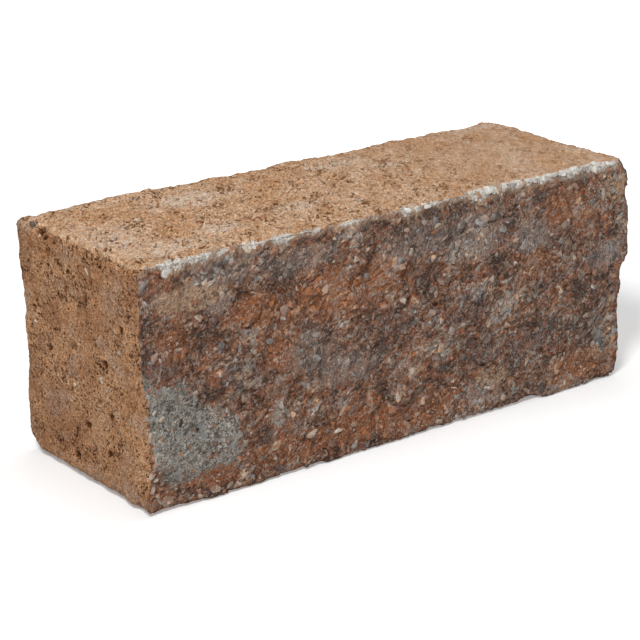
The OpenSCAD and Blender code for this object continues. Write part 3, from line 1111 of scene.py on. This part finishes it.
# The cloud, crumb and sand tints of the beds follow the same noise as their bump: over the sand's
# own tone they paint shade into the low parts and highlight onto the raised parts.
BED_CLOUD_TONE_AND_PAINTED_LIGHT = [(0.32, (0.76, 0.71, 0.66)), (0.5, PLAIN), (0.7, (1.12, 1.15, 1.18))]
BED_CRUMB_TONE_AND_PAINTED_LIGHT = [
    (0.30, (0.68, 0.54, 0.40)), (0.43, (0.94, 0.90, 0.85)), (0.56, (1.03, 1.06, 1.09)),
    (0.70, (1.14, 1.27, 1.44)),
]
BED_SAND_TONE_AND_PAINTED_LIGHT = [(0.30, (0.66, 0.52, 0.39)), (0.5, PLAIN), (0.70, (1.18, 1.36, 1.60))]
BED_PRESSED = [(0.0, PLAIN), (1.0, (0.895, 0.925, 0.985))]
GRAIN_TONES = [
    (0.00, (0.045, 0.030, 0.025)), (0.16, (0.110, 0.067, 0.048)),
    (0.36, (0.230, 0.110, 0.064)), (0.56, (0.330, 0.160, 0.095)),
    (0.74, (0.345, 0.230, 0.178)), (0.88, (0.430, 0.362, 0.315)),
    (1.00, (0.720, 0.650, 0.590)),
]
STONE_TONES = [
    (0.00, (0.100, 0.085, 0.085)), (0.16, (0.225, 0.215, 0.205)),
    (0.34, (0.380, 0.350, 0.320)), (0.56, (0.430, 0.330, 0.270)),
    (0.74, (0.270, 0.145, 0.092)), (0.90, (0.600, 0.530, 0.460)),
]
# The first stop, near black, is painted shade on the stones that stand in for the cement patch's
# slots, and a dark stone for the few scattered ones whose tone falls below 0.02.
AGGREGATE_TONES = [
    (0.00, (0.025, 0.020, 0.018)), (0.02, (0.125, 0.108, 0.095)),
    (0.13, (0.200, 0.125, 0.090)), (0.27, (0.310, 0.155, 0.086)),
    (0.43, (0.410, 0.280, 0.220)), (0.57, (0.270, 0.270, 0.268)),
    (0.70, (0.400, 0.375, 0.340)), (0.84, (0.580, 0.480, 0.370)),
    (0.94, (0.690, 0.635, 0.560)),
]
AGGREGATE_CLOUDS = [(0.3, (0.62, 0.60, 0.58)), (0.7, (1.35, 1.35, 1.35))]
CRUSHED_TONES = [
    (0.00, (0.400, 0.250, 0.155)), (0.22, (0.560, 0.430, 0.330)),
    (0.40, (0.660, 0.620, 0.560)), (1.00, (0.780, 0.765, 0.720)),
]
CRUSHED_CLOUDS = [(0.34, (0.76, 0.76, 0.74)), (0.58, (1.04, 1.04, 1.04))]
PASTE_TONES = [
    (0.34, (0.078, 0.050, 0.041)), (0.42, (0.170, 0.091, 0.062)),
    (0.48, (0.350, 0.147, 0.073)), (0.54, (0.390, 0.195, 0.117)),
    (0.60, (0.450, 0.340, 0.275)), (0.68, (0.660, 0.585, 0.505)),
]
PASTE_HUES = [
    (0.38, (0.70, 0.92, 1.14)), (0.5, (0.93, 0.90, 0.86)), (0.62, (1.25, 0.86, 0.58)),
]
# The tint of each coloured zone of the paste, and how strong it is.
PASTE_ZONES = {
    "rust": ((0.530, 0.185, 0.058), 0.80), "ash": ((0.430, 0.405, 0.380), 0.72),
    "dark": ((0.095, 0.079, 0.080), 0.66),
}
LEFT_PASTE = [(0.0, (0.90, 0.84, 0.80)), (1.0, PLAIN)]
CEMENT_TONES = [
    (0.12, (0.062, 0.054, 0.047)), (0.34, (0.200, 0.185, 0.161)),
    (0.60, (0.302, 0.281, 0.247)), (0.88, (0.560, 0.522, 0.462)),
]


# ============================ Shared finish groups ============================
def speckle_group():
    """Shader group: grains with a random tone each, and the gaps between them."""
    tree, given, result = new_group(
        "ShaderNodeTree", "Speckle", {"Place": VECTOR, "Size": 1.0, "Sway": 0.5},
        {"Tone": FLOAT, "Dome": FLOAT},
    )
    reach = product(tree, given["Size"], given["Sway"])
    place = swayed(tree, given["Place"], given["Size"], reach, 1.0)
    cells = grains(tree, place, given["Size"])
    tree.links.new(parts(tree, cells["Color"])[0], result["Tone"])
    tree.links.new(remap(tree, cells["Distance"], 0.75, 0.1), result["Dome"])


def scattered_stones_group():
    """Shader group: a share of the cells hold an angular stone."""
    tree, given, result = new_group(
        "ShaderNodeTree", "Scattered stones",
        {"Place": VECTOR, "Size": 4.0, "Share": 0.3, "Gap": 0.08},
        {"Mask": FLOAT, "Tone": FLOAT},
    )
    size = given["Size"]
    place = swayed(tree, given["Place"], size, product(tree, size, 0.45), 2.0, 0.6)
    rims = grains(tree, place, size, "DISTANCE_TO_EDGE")
    chance = parts(tree, grains(tree, place, size)["Color"])
    present = calc(tree, "LESS_THAN", chance[2], given["Share"])
    # Small stones keep further from their cell's rim.
    inset = calc(tree, "MULTIPLY_ADD", chance[1], 0.12, given["Gap"])
    inside = remap(tree, calc(tree, "SUBTRACT", rims["Distance"], inset), 0.0, 0.05)
    tree.links.new(product(tree, inside, present), result["Mask"])
    tree.links.new(chance[0], result["Tone"])


def ragged_zone_group():
    """Shader group: a zone's mask, its border broken up by noise."""
    tree, given, result = new_group(
        "ShaderNodeTree", "Ragged zone",
        {"Field": 0.0, "Lumps": 0.5, "Ragged": 0.8, "Soft": 0.15}, {"Mask": FLOAT},
    )
    push = product(tree, calc(tree, "SUBTRACT", given["Lumps"], 0.5), given["Ragged"])
    level = calc(tree, "ADD", given["Field"], push)
    low = product(tree, given["Soft"], -1.0)
    tree.links.new(remap(tree, level, low, given["Soft"]), result["Mask"])


def holes_group():
    """Shader group: ragged round holes of mixed widths in a share of the cells."""
    tree, given, result = new_group(
        "ShaderNodeTree", "Holes",
        {"Place": VECTOR, "Size": 2.0, "Share": 0.5, "Reach": 0.4, "Cluster": 8.0},
        {"Mask": FLOAT},
    )
    size = given["Size"]
    place = swayed(tree, given["Place"], product(tree, size, 0.5), product(tree, size, 0.9),
                   2.0, 0.6)
    cells = grains(tree, place, size)
    chance = parts(tree, cells["Color"])
    crowd = noise(tree, given["Place"], given["Cluster"])
    crowd = product(tree, calc(tree, "SUBTRACT", crowd, 0.5), 1.7)
    present = calc(tree, "LESS_THAN", chance[0], calc(tree, "ADD", given["Share"], crowd))
    width = remap(tree, chance[1], 0.0, 1.0, 0.35, 1.0, "LINEAR")
    near = calc(tree, "DIVIDE", cells["Distance"], product(tree, given["Reach"], width))
    tree.links.new(product(tree, remap(tree, near, 1.15, 0.75), present), result["Mask"])


def gaps_group():
    """Shader group: the mask of crooked gaps between crumbs, thicker in some places, which the
    finishes darken as painted shade.
    """
    tree, given, result = new_group(
        "ShaderNodeTree", "Crooked gaps",
        {"Place": VECTOR, "Size": 1.8, "Cluster": 9.0, "Share": 0.5}, {"Mask": FLOAT},
    )
    fine = noise(tree, given["Place"], given["Size"], 4.0, 0.62)
    crowd = noise(tree, given["Place"], given["Cluster"])
    level = weighted_sum(tree, (given["Share"], -0.4), (crowd, -0.5), (fine, 1.0))
    tree.links.new(remap(tree, level, 0.02, -0.08), result["Mask"])


def mottle_group():
    """Shader group: cloudy mottling whose lumps are folded over each other."""
    tree, given, result = new_group(
        "ShaderNodeTree", "Mottle", {"Place": VECTOR, "Size": 5.0, "Fold": 0.8},
        {"Fac": FLOAT},
    )
    size = given["Size"]
    folded = swayed(tree, given["Place"], product(tree, size, 1.7),
                    product(tree, size, given["Fold"], 4.0))
    tree.links.new(noise(tree, folded, size, 5.0, 0.62), result["Fac"])


def paste_group():
    """Shader group: the mottled paste that binds the split face's stones.

    Rust, Ash and Dark say how deep in those zones a place is."""
    tree, given, result = new_group(
        "ShaderNodeTree", "Mottled paste",
        {"Place": VECTOR, **{name.title(): 0.0 for name in PASTE_ZONES}},
        {"Colour": COLOUR, "Mottle": FLOAT},
    )
    place = given["Place"]
    slant = slanted(tree, place)
    broad = noise(tree, place, PASTE_MM["broad"], 3.0, 0.6)
    wide = mottle(tree, slant, PASTE_MM["wide"], 0.5)
    narrow = mottle(tree, slant, PASTE_MM["narrow"], 0.4)
    level = weighted_sum(tree, (broad, 0.90), (wide, 0.96), (narrow, 0.68))
    level = calc(tree, "SUBTRACT", level, PASTE_DEPTH)
    colour = ramp(tree, level, PASTE_TONES)
    # Cool and rusty clouds lie over the light and dark ones.
    far = vector_calc(tree, "ADD", slant, (310.0, 0.0, 170.0))
    colour = tinted(tree, colour, mottle(tree, far, PASTE_MM["hue"], 0.55), PASTE_HUES)
    borders = noise(tree, place, PASTE_MM["border"], 4.0, ZONE_ROUGHNESS)
    for name, (tint, amount) in PASTE_ZONES.items():
        zone = use_group(tree, "Ragged zone", Field=given[name.title()], Lumps=borders,
                         Ragged=1.5, Soft=0.45)["Mask"]
        share = remap(tree, narrow, 0.3, 0.65, 1.35 * amount, 0.4 * amount)
        colour = laid_over(tree, colour, tint, zone, share)
    tree.links.new(colour, result["Colour"])
    tree.links.new(level, result["Mottle"])


# ============================ Finishes ============================
def use_paste(tree, place):
    """Places the mottled paste, with the coloured zones that the stone carries."""
    zones = {name.title(): field(tree, name) for name in PASTE_ZONES}
    return use_group(tree, "Mottled paste", Place=place, **zones)


def aggregate_finish():
    """The exposed stones: a clean one shows its own tone, the rest the paste's."""
    material, tree, place = new_finish("crushed_aggregate")
    own = ramp(tree, field(tree, "tone"), AGGREGATE_TONES, "CONSTANT")
    cloud = noise(tree, place, 1.4, 3.0, 0.65)
    own = tinted(tree, own, cloud, AGGREGATE_CLOUDS)
    smear = remap(tree, noise(tree, place, 2.4, 3.0, 0.6), 0.40, 0.60, 0.0, 0.5)
    clean = calc(tree, "SUBTRACT", field(tree, "clean"), smear)
    share = remap(tree, clean, -0.4, 0.9, 0.06, 0.92)
    colour = mix(tree, share, use_paste(tree, place)["Colour"], own)
    finish_surface(tree, colour, product(tree, cloud, 0.6), 0.85)
    return material


def crushed_finish():
    """The crushed grains on a bruise: most white, a few still sandy."""
    material, tree, place = new_finish("crushed_grains")
    cloud = noise(tree, place, 1.2, 2.0, 0.6)
    own = tinted(tree, ramp(tree, field(tree, "tone"), CRUSHED_TONES), cloud, CRUSHED_CLOUDS)
    finish_surface(tree, own, product(tree, cloud, 0.5), 0.85)
    return material


def stone_finish():
    """The whole stone's finish: cast skin and split face, mixed by the split."""
    material, tree, place = new_finish("tumbled_stone")
    split = zone_mask(tree, place, field(tree, "split", -0.5), 3.0, 0.5, 0.12)
    skin_colour, skin_height = cast_skin(tree, place)
    broken_colour, broken_height = broken_face(tree, place)
    colour = mix(tree, split, skin_colour, broken_colour)
    finish_surface(tree, colour, blended(tree, split, skin_height, broken_height), 0.9)
    return material


def cast_skin(tree, place):
    """Colour and bump height in mm of the sandy cast faces."""
    outward = add(tree, "ShaderNodeAttribute", attribute_name="outward").outputs["Vector"]
    bed = calc(tree, "SUBTRACT", bed_share(tree, outward), 0.5)
    bed = zone_mask(tree, place, bed, 5.0, 0.8, 0.3)
    side_colour, side_height = side_skin(tree, place)
    bed_colour, bed_height = bed_skin(tree, place)
    colour = mix(tree, bed, side_colour, bed_colour)
    # A crumb that sits on the skin is a shade of its own.
    colour = tinted(tree, colour, field(tree, "tone"), CRUMB_TINTS)
    far = vector_calc(tree, "ADD", place, (90.0, 40.0, 60.0))
    colour = tinted(tree, colour, mottle(tree, far, 2.4, 0.8), SKIN_DRIFT)
    return bruised(tree, place, colour), blended(tree, bed, side_height, bed_height)


def side_skin(tree, place):
    """The moulded sides: sandy tan paste, thick with small ragged holes darkened by painted shade.

    The mould has dragged them along Y."""
    place = drawn_out(tree, place, (0, 0, 0), (1.0, 1.25, 1.0))
    broad = noise(tree, place, SIDE_MM["drift"], 3.0, 0.55)
    colour = mix(tree, remap(tree, broad, 0.36, 0.62), SIDE_BROWN, SIDE_TAN)
    smooth_patch = noise(tree, place, SIDE_MM["smooth patch"], 3.0)
    smooth_patch = remap(tree, smooth_patch, 0.53, 0.64)
    colour = laid_over(tree, colour, SIDE_PALLID, smooth_patch, 0.62)
    # The cloud and sand tints paint shade into the bump's low parts and highlight onto its raised
    # parts, as well as the paste's own tone.
    cloud = mottle(tree, place, SIDE_MM["cloud"], 0.6)
    colour = tinted(tree, colour, cloud, SIDE_CLOUD_TONE_AND_PAINTED_LIGHT)
    sand = noise(tree, place, SIDE_MM["sand"], 2.0, 0.7)
    colour = tinted(tree, colour, sand, SIDE_SAND_TONE_AND_PAINTED_LIGHT)
    small = holes_mask(tree, place, "small hole", 0.42, 0.42)
    large = holes_mask(tree, place, "large hole", 0.18, 0.31)
    gaps = gaps_mask(tree, place, SIDE_MM, 0.34)
    closed = calc(tree, "MULTIPLY_ADD", smooth_patch, -0.75, 1.0)
    modelled = product(tree, modelled_pits(tree, place), 0.95)
    fine_holes = product(tree, calc(tree, "MAXIMUM", small, gaps), closed)
    wide_holes = product(tree, calc(tree, "MAXIMUM", large, modelled), closed)
    # Painted shade darkens the holes, the gaps and the modelled pits.
    colour = tinted(tree, colour, calc(tree, "MAXIMUM", fine_holes, wide_holes), PORE_SHADE_TINTS)
    return colour, weighted_sum(tree, (sand, 1.0), (cloud, 2.6), (fine_holes, -1.6))


def modelled_pits(tree, place):
    """The mask of the skin's modelled pits, with ragged rims."""
    return zone_mask(tree, place, field(tree, "pit", -0.38), 1.8, 1.3, 0.25)


def bed_skin(tree, place):
    """The beds: loose crumbs of sand with painted shade in the gaps, under a pale bloom.

    They were dragged over each other along a slant. The right of the bed was
    pressed smoother than the left."""
    flat = place
    place = drawn_out(tree, place, (0, 0, 52), (1.7, 1.0, 1.0))
    broad = noise(tree, place, BED_MM["drift"], 4.0, 0.6)
    colour = mix(tree, remap(tree, broad, 0.36, 0.62), BED_OCHRE, BED_SAND)
    # The cloud, crumb and sand tints paint shade into the bump's low parts and highlight onto its
    # raised parts, as well as the sand's own tone.
    cloud = mottle(tree, place, BED_MM["cloud"], 0.8)
    plain = tinted(tree, colour, cloud, BED_CLOUD_TONE_AND_PAINTED_LIGHT)
    crumb = noise(tree, place, BED_MM["crumb"], 3.0, 0.62)
    sand = noise(tree, place, BED_MM["sand"], 1.0, 0.7)
    colour = tinted(tree, tinted(tree, plain, crumb, BED_CRUMB_TONE_AND_PAINTED_LIGHT), sand, BED_SAND_TONE_AND_PAINTED_LIGHT)
    pressed = remap(tree, parts(tree, flat)[0], *PRESSED_MM)
    colour = laid_over(tree, colour, plain, pressed, 0.50)
    colour = tinted(tree, colour, pressed, BED_PRESSED)
    bloom = zone_mask(tree, flat, field(tree, "bloom"), BED_MM["bloom border"], 1.8, 0.6, 4.0)
    dusting = remap(tree, noise(tree, place, BED_MM["dusting"], 3.0, 0.7), 0.38, 0.6)
    colour = laid_over(tree, colour, BLOOM, product(tree, bloom, dusting), 0.62)
    gaps = gaps_mask(tree, place, BED_MM, 0.38)
    gaps = product(tree, gaps, calc(tree, "MULTIPLY_ADD", pressed, -0.45, 1.0))
    # Painted shade darkens the gaps and the modelled pits.
    dark = calc(tree, "MAXIMUM", gaps, modelled_pits(tree, flat))
    colour = tinted(tree, colour, dark, GAP_SHADE_TINTS)
    height = weighted_sum(tree, (crumb, 2.8), (cloud, 0.8), (gaps, -0.8), (sand, 0.5))
    return colour, product(tree, height, calc(tree, "MULTIPLY_ADD", pressed, -0.45, 1.05))


def bruised(tree, place, colour):
    """The colour with the crushed white where a knock has hit the split arris, flecked with painted
    shade between its lumps.
    """
    crushed = zone_mask(tree, place, field(tree, "bruise"), 3.0, 3.2, 0.3)
    powder = noise(tree, place, 1.5, 3.0, 0.65)
    # Where the powder noise is low, the white turns to painted shade.
    white = ramp(tree, powder, [(0.32, BRUISE_PAINTED_SHADE), (0.60, BRUISE)])
    return laid_over(tree, colour, white, crushed, remap(tree, powder, 0.30, 0.50, 0.45, 1.0))


def stones_over(tree, colour, place, size, share, gap, strength):
    """A colour with scattered stones in tones of their own laid over it."""
    spread = use_group(tree, "Scattered stones", Place=place, Size=size, Share=share, Gap=gap)
    return laid_over(tree, colour, ramp(tree, spread["Tone"], STONE_TONES), spread["Mask"],
                     strength)


def broken_face(tree, place):
    """Colour and bump height in mm of the split face."""
    slant = slanted(tree, place)
    paste = use_paste(tree, place)
    fine = use_group(tree, "Speckle", Place=place, Size=SPLIT_MM["grain"], Sway=0.9)
    colour = mix(tree, 0.44, paste["Colour"], ramp(tree, fine["Tone"], GRAIN_TONES))
    colour = stones_over(tree, colour, place, SPLIT_MM["small stone"], 0.28, 0.08, 0.60)
    colour = stones_over(tree, colour, slant, SPLIT_MM["large stone"], 0.14, 0.10, 0.6)
    # The paste is deeper in colour on the left.
    along = remap(tree, parts(tree, place)[0], 0.0, 90.0)
    colour = cement_patch(tree, place, tinted(tree, colour, along, LEFT_PASTE))
    beige = zone_mask(tree, place, field(tree, "beige"), SPLIT_MM["beige border"], 0.9, 0.25, 4.0)
    sandy = mix(tree, fine["Tone"], BEIGE_DARK, BEIGE_LIGHT)
    colour = laid_over(tree, colour, sandy, beige, 0.72)
    # Painted shade darkens the gaps between the grains.
    gaps = gaps_mask(tree, slant, SPLIT_MM, 0.45)
    colour = laid_over(tree, colour, SPLIT_GAP_SHADE, gaps, 0.55)
    rim = zone_mask(tree, place, field(tree, "bruise", 0.9), SPLIT_MM["rim border"], 2.4, 0.4)
    colour = laid_over(tree, colour, BRUISE_RIM, rim, 0.6)
    grit = noise(tree, place, SPLIT_MM["grit"], 3.0, 0.65)
    height = weighted_sum(tree, (fine["Dome"], 0.32), (gaps, -0.5), (paste["Mottle"], 0.8),
                          (grit, 0.8))
    flatter = remap(tree, field(tree, "cement"), 0.0, 0.2, 1.0, 0.65)
    return bruised(tree, place, colour), product(tree, height, flatter)


def cement_patch(tree, place, colour):
    """The grey patch where the break ran through bare cement mortar."""
    patch = zone_mask(tree, place, field(tree, "cement"), CEMENT_MM["border"], 1.5, 0.05, 4.0)
    grit = use_group(tree, "Speckle", Place=place, Size=CEMENT_MM["grain"], Sway=0.7)["Tone"]
    fine = noise(tree, place, CEMENT_MM["fine"], 2.0, 0.6)
    cloud = mottle(tree, place, CEMENT_MM["cloud"], 0.5)
    level = weighted_sum(tree, (cloud, 1.15), (fine, 0.95), (grit, 0.55))
    paste = ramp(tree, calc(tree, "SUBTRACT", level, CEMENT_DEPTH), CEMENT_TONES)
    # Stains keep nearer to the patch's border than to its middle.
    stain = weighted_sum(tree, (field(tree, "cement"), -0.12),
                         (noise(tree, place, CEMENT_MM["stain"], 4.0, 0.65), 1.0))
    paste = laid_over(tree, paste, CEMENT_STAIN, remap(tree, stain, 0.50, 0.60), 0.45)
    for size, share, gap, strength, tint in (
            (CEMENT_MM["pebble"], 0.28, 0.06, 0.7, CEMENT_PEBBLE),
            (CEMENT_MM["brick"], 0.07, 0.05, 0.8, CEMENT_BRICK)):
        bits = use_group(tree, "Scattered stones", Place=place, Size=size, Share=share, Gap=gap)
        paste = laid_over(tree, paste, tint, bits["Mask"], strength)
    return laid_over(tree, colour, paste, patch, 0.96)


# ============================ Camera, light and floor ============================
CAMERA = {
    "azimuth": -38.15, "elevation": 19.47, "roll": 0.07, "distance": 1.0824,
    "lens": 123.8, "aim": (-0.0080, -0.0099),
}
# Each lamp's place, side and power.
LAMPS = {
    "key": ((-0.80, -0.62, 1.15), 0.30, 16.5), "overhead": ((0.2, 0.1, 1.4), 0.9, 9.0),
}
# How bright the surround is as light, and how bright it is in a reflection,
# which keeps the stone's hollows dark.
SURROUND_FILL, MIRRORED_SURROUND = 0.012, 0.05
FLOOR_REACH = 4.0
FLOOR_GREY = 0.85
# From this near the stone to this far the floor's glow rises to plain white.
FLOOR_GLOW_REACH, FLOOR_GLOW = (0.2, 0.6), (0.3, 1.0)
WHITE = (1, 1, 1, 1)


def make_camera():
    """A long lens that looks along the stone from its split face's left end."""
    azimuth, elevation = math.radians(CAMERA["azimuth"]), math.radians(CAMERA["elevation"])
    back = Vector((math.sin(azimuth) * math.cos(elevation),
                   -math.cos(azimuth) * math.cos(elevation), math.sin(elevation)))
    right = (-back).cross(Vector((0, 0, 1))).normalized()
    up = right.cross(-back)
    roll = math.radians(CAMERA["roll"])
    right, up = (right * math.cos(roll) + up * math.sin(roll),
                 up * math.cos(roll) - right * math.sin(roll))
    camera = show("camera", bpy.data.cameras.new("camera"))
    camera.data.lens = CAMERA["lens"]
    aim = Vector(MIDDLE) + right * CAMERA["aim"][0] + up * CAMERA["aim"][1]
    camera.location = aim + back * CAMERA["distance"]
    camera.rotation_euler = Matrix((right, up, back)).transposed().to_euler()
    bpy.context.scene.camera = camera


def add_lamp(name, place, size, power):
    """A square soft lamp that points at the stone's middle."""
    lamp = show(name, bpy.data.lights.new(name, "AREA"))
    lamp.data.size = size
    lamp.data.energy = power
    lamp.location = place
    lamp.rotation_euler = (Vector(MIDDLE) - Vector(place)).to_track_quat("-Z", "Y").to_euler()


def seen_directly(tree):
    """1 for rays from the camera, a mirror or a glass, and 0 for light."""
    rays = add(tree, "ShaderNodeLightPath").outputs
    seen = calc(tree, "MAXIMUM", rays["Is Camera Ray"], rays["Is Glossy Ray"])
    return calc(tree, "MAXIMUM", seen, rays["Is Transmission Ray"])


def make_world():
    """A plain surround: white where the camera sees it, and dim fill on the stone."""
    world = bpy.data.worlds.new("surround")
    world.use_nodes = True
    bpy.context.scene.world = world
    tree = world.node_tree
    background = tree.nodes["Background"]
    background.inputs["Color"].default_value = WHITE
    camera_ray = add(tree, "ShaderNodeLightPath").outputs["Is Camera Ray"]
    mirrored = remap(tree, seen_directly(tree), 0.0, 1.0, SURROUND_FILL, MIRRORED_SURROUND,
                     "LINEAR")
    tree.links.new(calc(tree, "MAXIMUM", mirrored, camera_ray), background.inputs["Strength"])


def make_floor():
    """A white floor that fades into the surround and keeps the shadow."""
    mesh = bpy.data.meshes.new("floor")
    corners = [(-1, -1, 0), (1, -1, 0), (1, 1, 0), (-1, 1, 0)]
    mesh.from_pydata([Vector(corner) * FLOOR_REACH for corner in corners], [], [(0, 1, 2, 3)])
    material = bpy.data.materials.new("white_floor")
    material.use_nodes = True
    tree = material.node_tree
    surface = tree.nodes["Principled BSDF"].inputs
    surface["Base Color"].default_value = (FLOOR_GREY, FLOOR_GREY, FLOOR_GREY, 1)
    surface["Roughness"].default_value = 1.0
    surface["Specular IOR Level"].default_value = 0.0
    surface["Emission Color"].default_value = WHITE
    from_stone = vector_calc(tree, "LENGTH", add(tree, "ShaderNodeTexCoord").outputs["Object"])
    glow = remap(tree, from_stone, *FLOOR_GLOW_REACH, *FLOOR_GLOW)
    tree.links.new(product(tree, seen_directly(tree), glow), surface["Emission Strength"])
    mesh.materials.append(material)
    floor = show("floor", mesh)


# ============================ Building it all ============================
for make_group in (facet_group, pit_group, seated_group, speckle_group,
                   scattered_stones_group, ragged_zone_group, holes_group, gaps_group,
                   mottle_group, paste_group):
    make_group()
skin, aggregate, crushed = stone_finish(), aggregate_finish(), crushed_finish()

blank = make_blank()
stone = run_tree(blank, relief_tree(), {**RELIEF, "Finish": skin}, "split_wall_stone")
bpy.data.objects.remove(blank)
pieces = [stone]
for name, piece_name, sizes, share_of, subdivisions, smooth, finish in (
        ("Aggregate", "exposed_aggregate", AGGREGATE, aggregate_share, 1, False, aggregate),
        ("Crumbs", "skin_crumbs", CRUMBS, crumb_share, 1, True, skin),
        ("Crushed grains", "bruised_grains", CRUSHED, bruise_share, 2, False, crushed)):
    scatter = scatter_tree(name, sizes, share_of, subdivisions, smooth)
    pieces.append(run_tree(stone, scatter, {**sizes, "Finish": finish}, piece_name))
points = placed_points(stone)
pieces.append(run_tree(points, placed_tree(), {**PLACED, "Finish": aggregate}, "placed_stones"))
bpy.data.objects.remove(points)
for piece in pieces:
    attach(piece, BODY)
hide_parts(NODE)

make_camera()
make_world()
for name, (place, size, power) in LAMPS.items():
    add_lamp(name, place, size, power)
make_floor()
bpy.context.scene.view_settings.view_transform = "Standard"
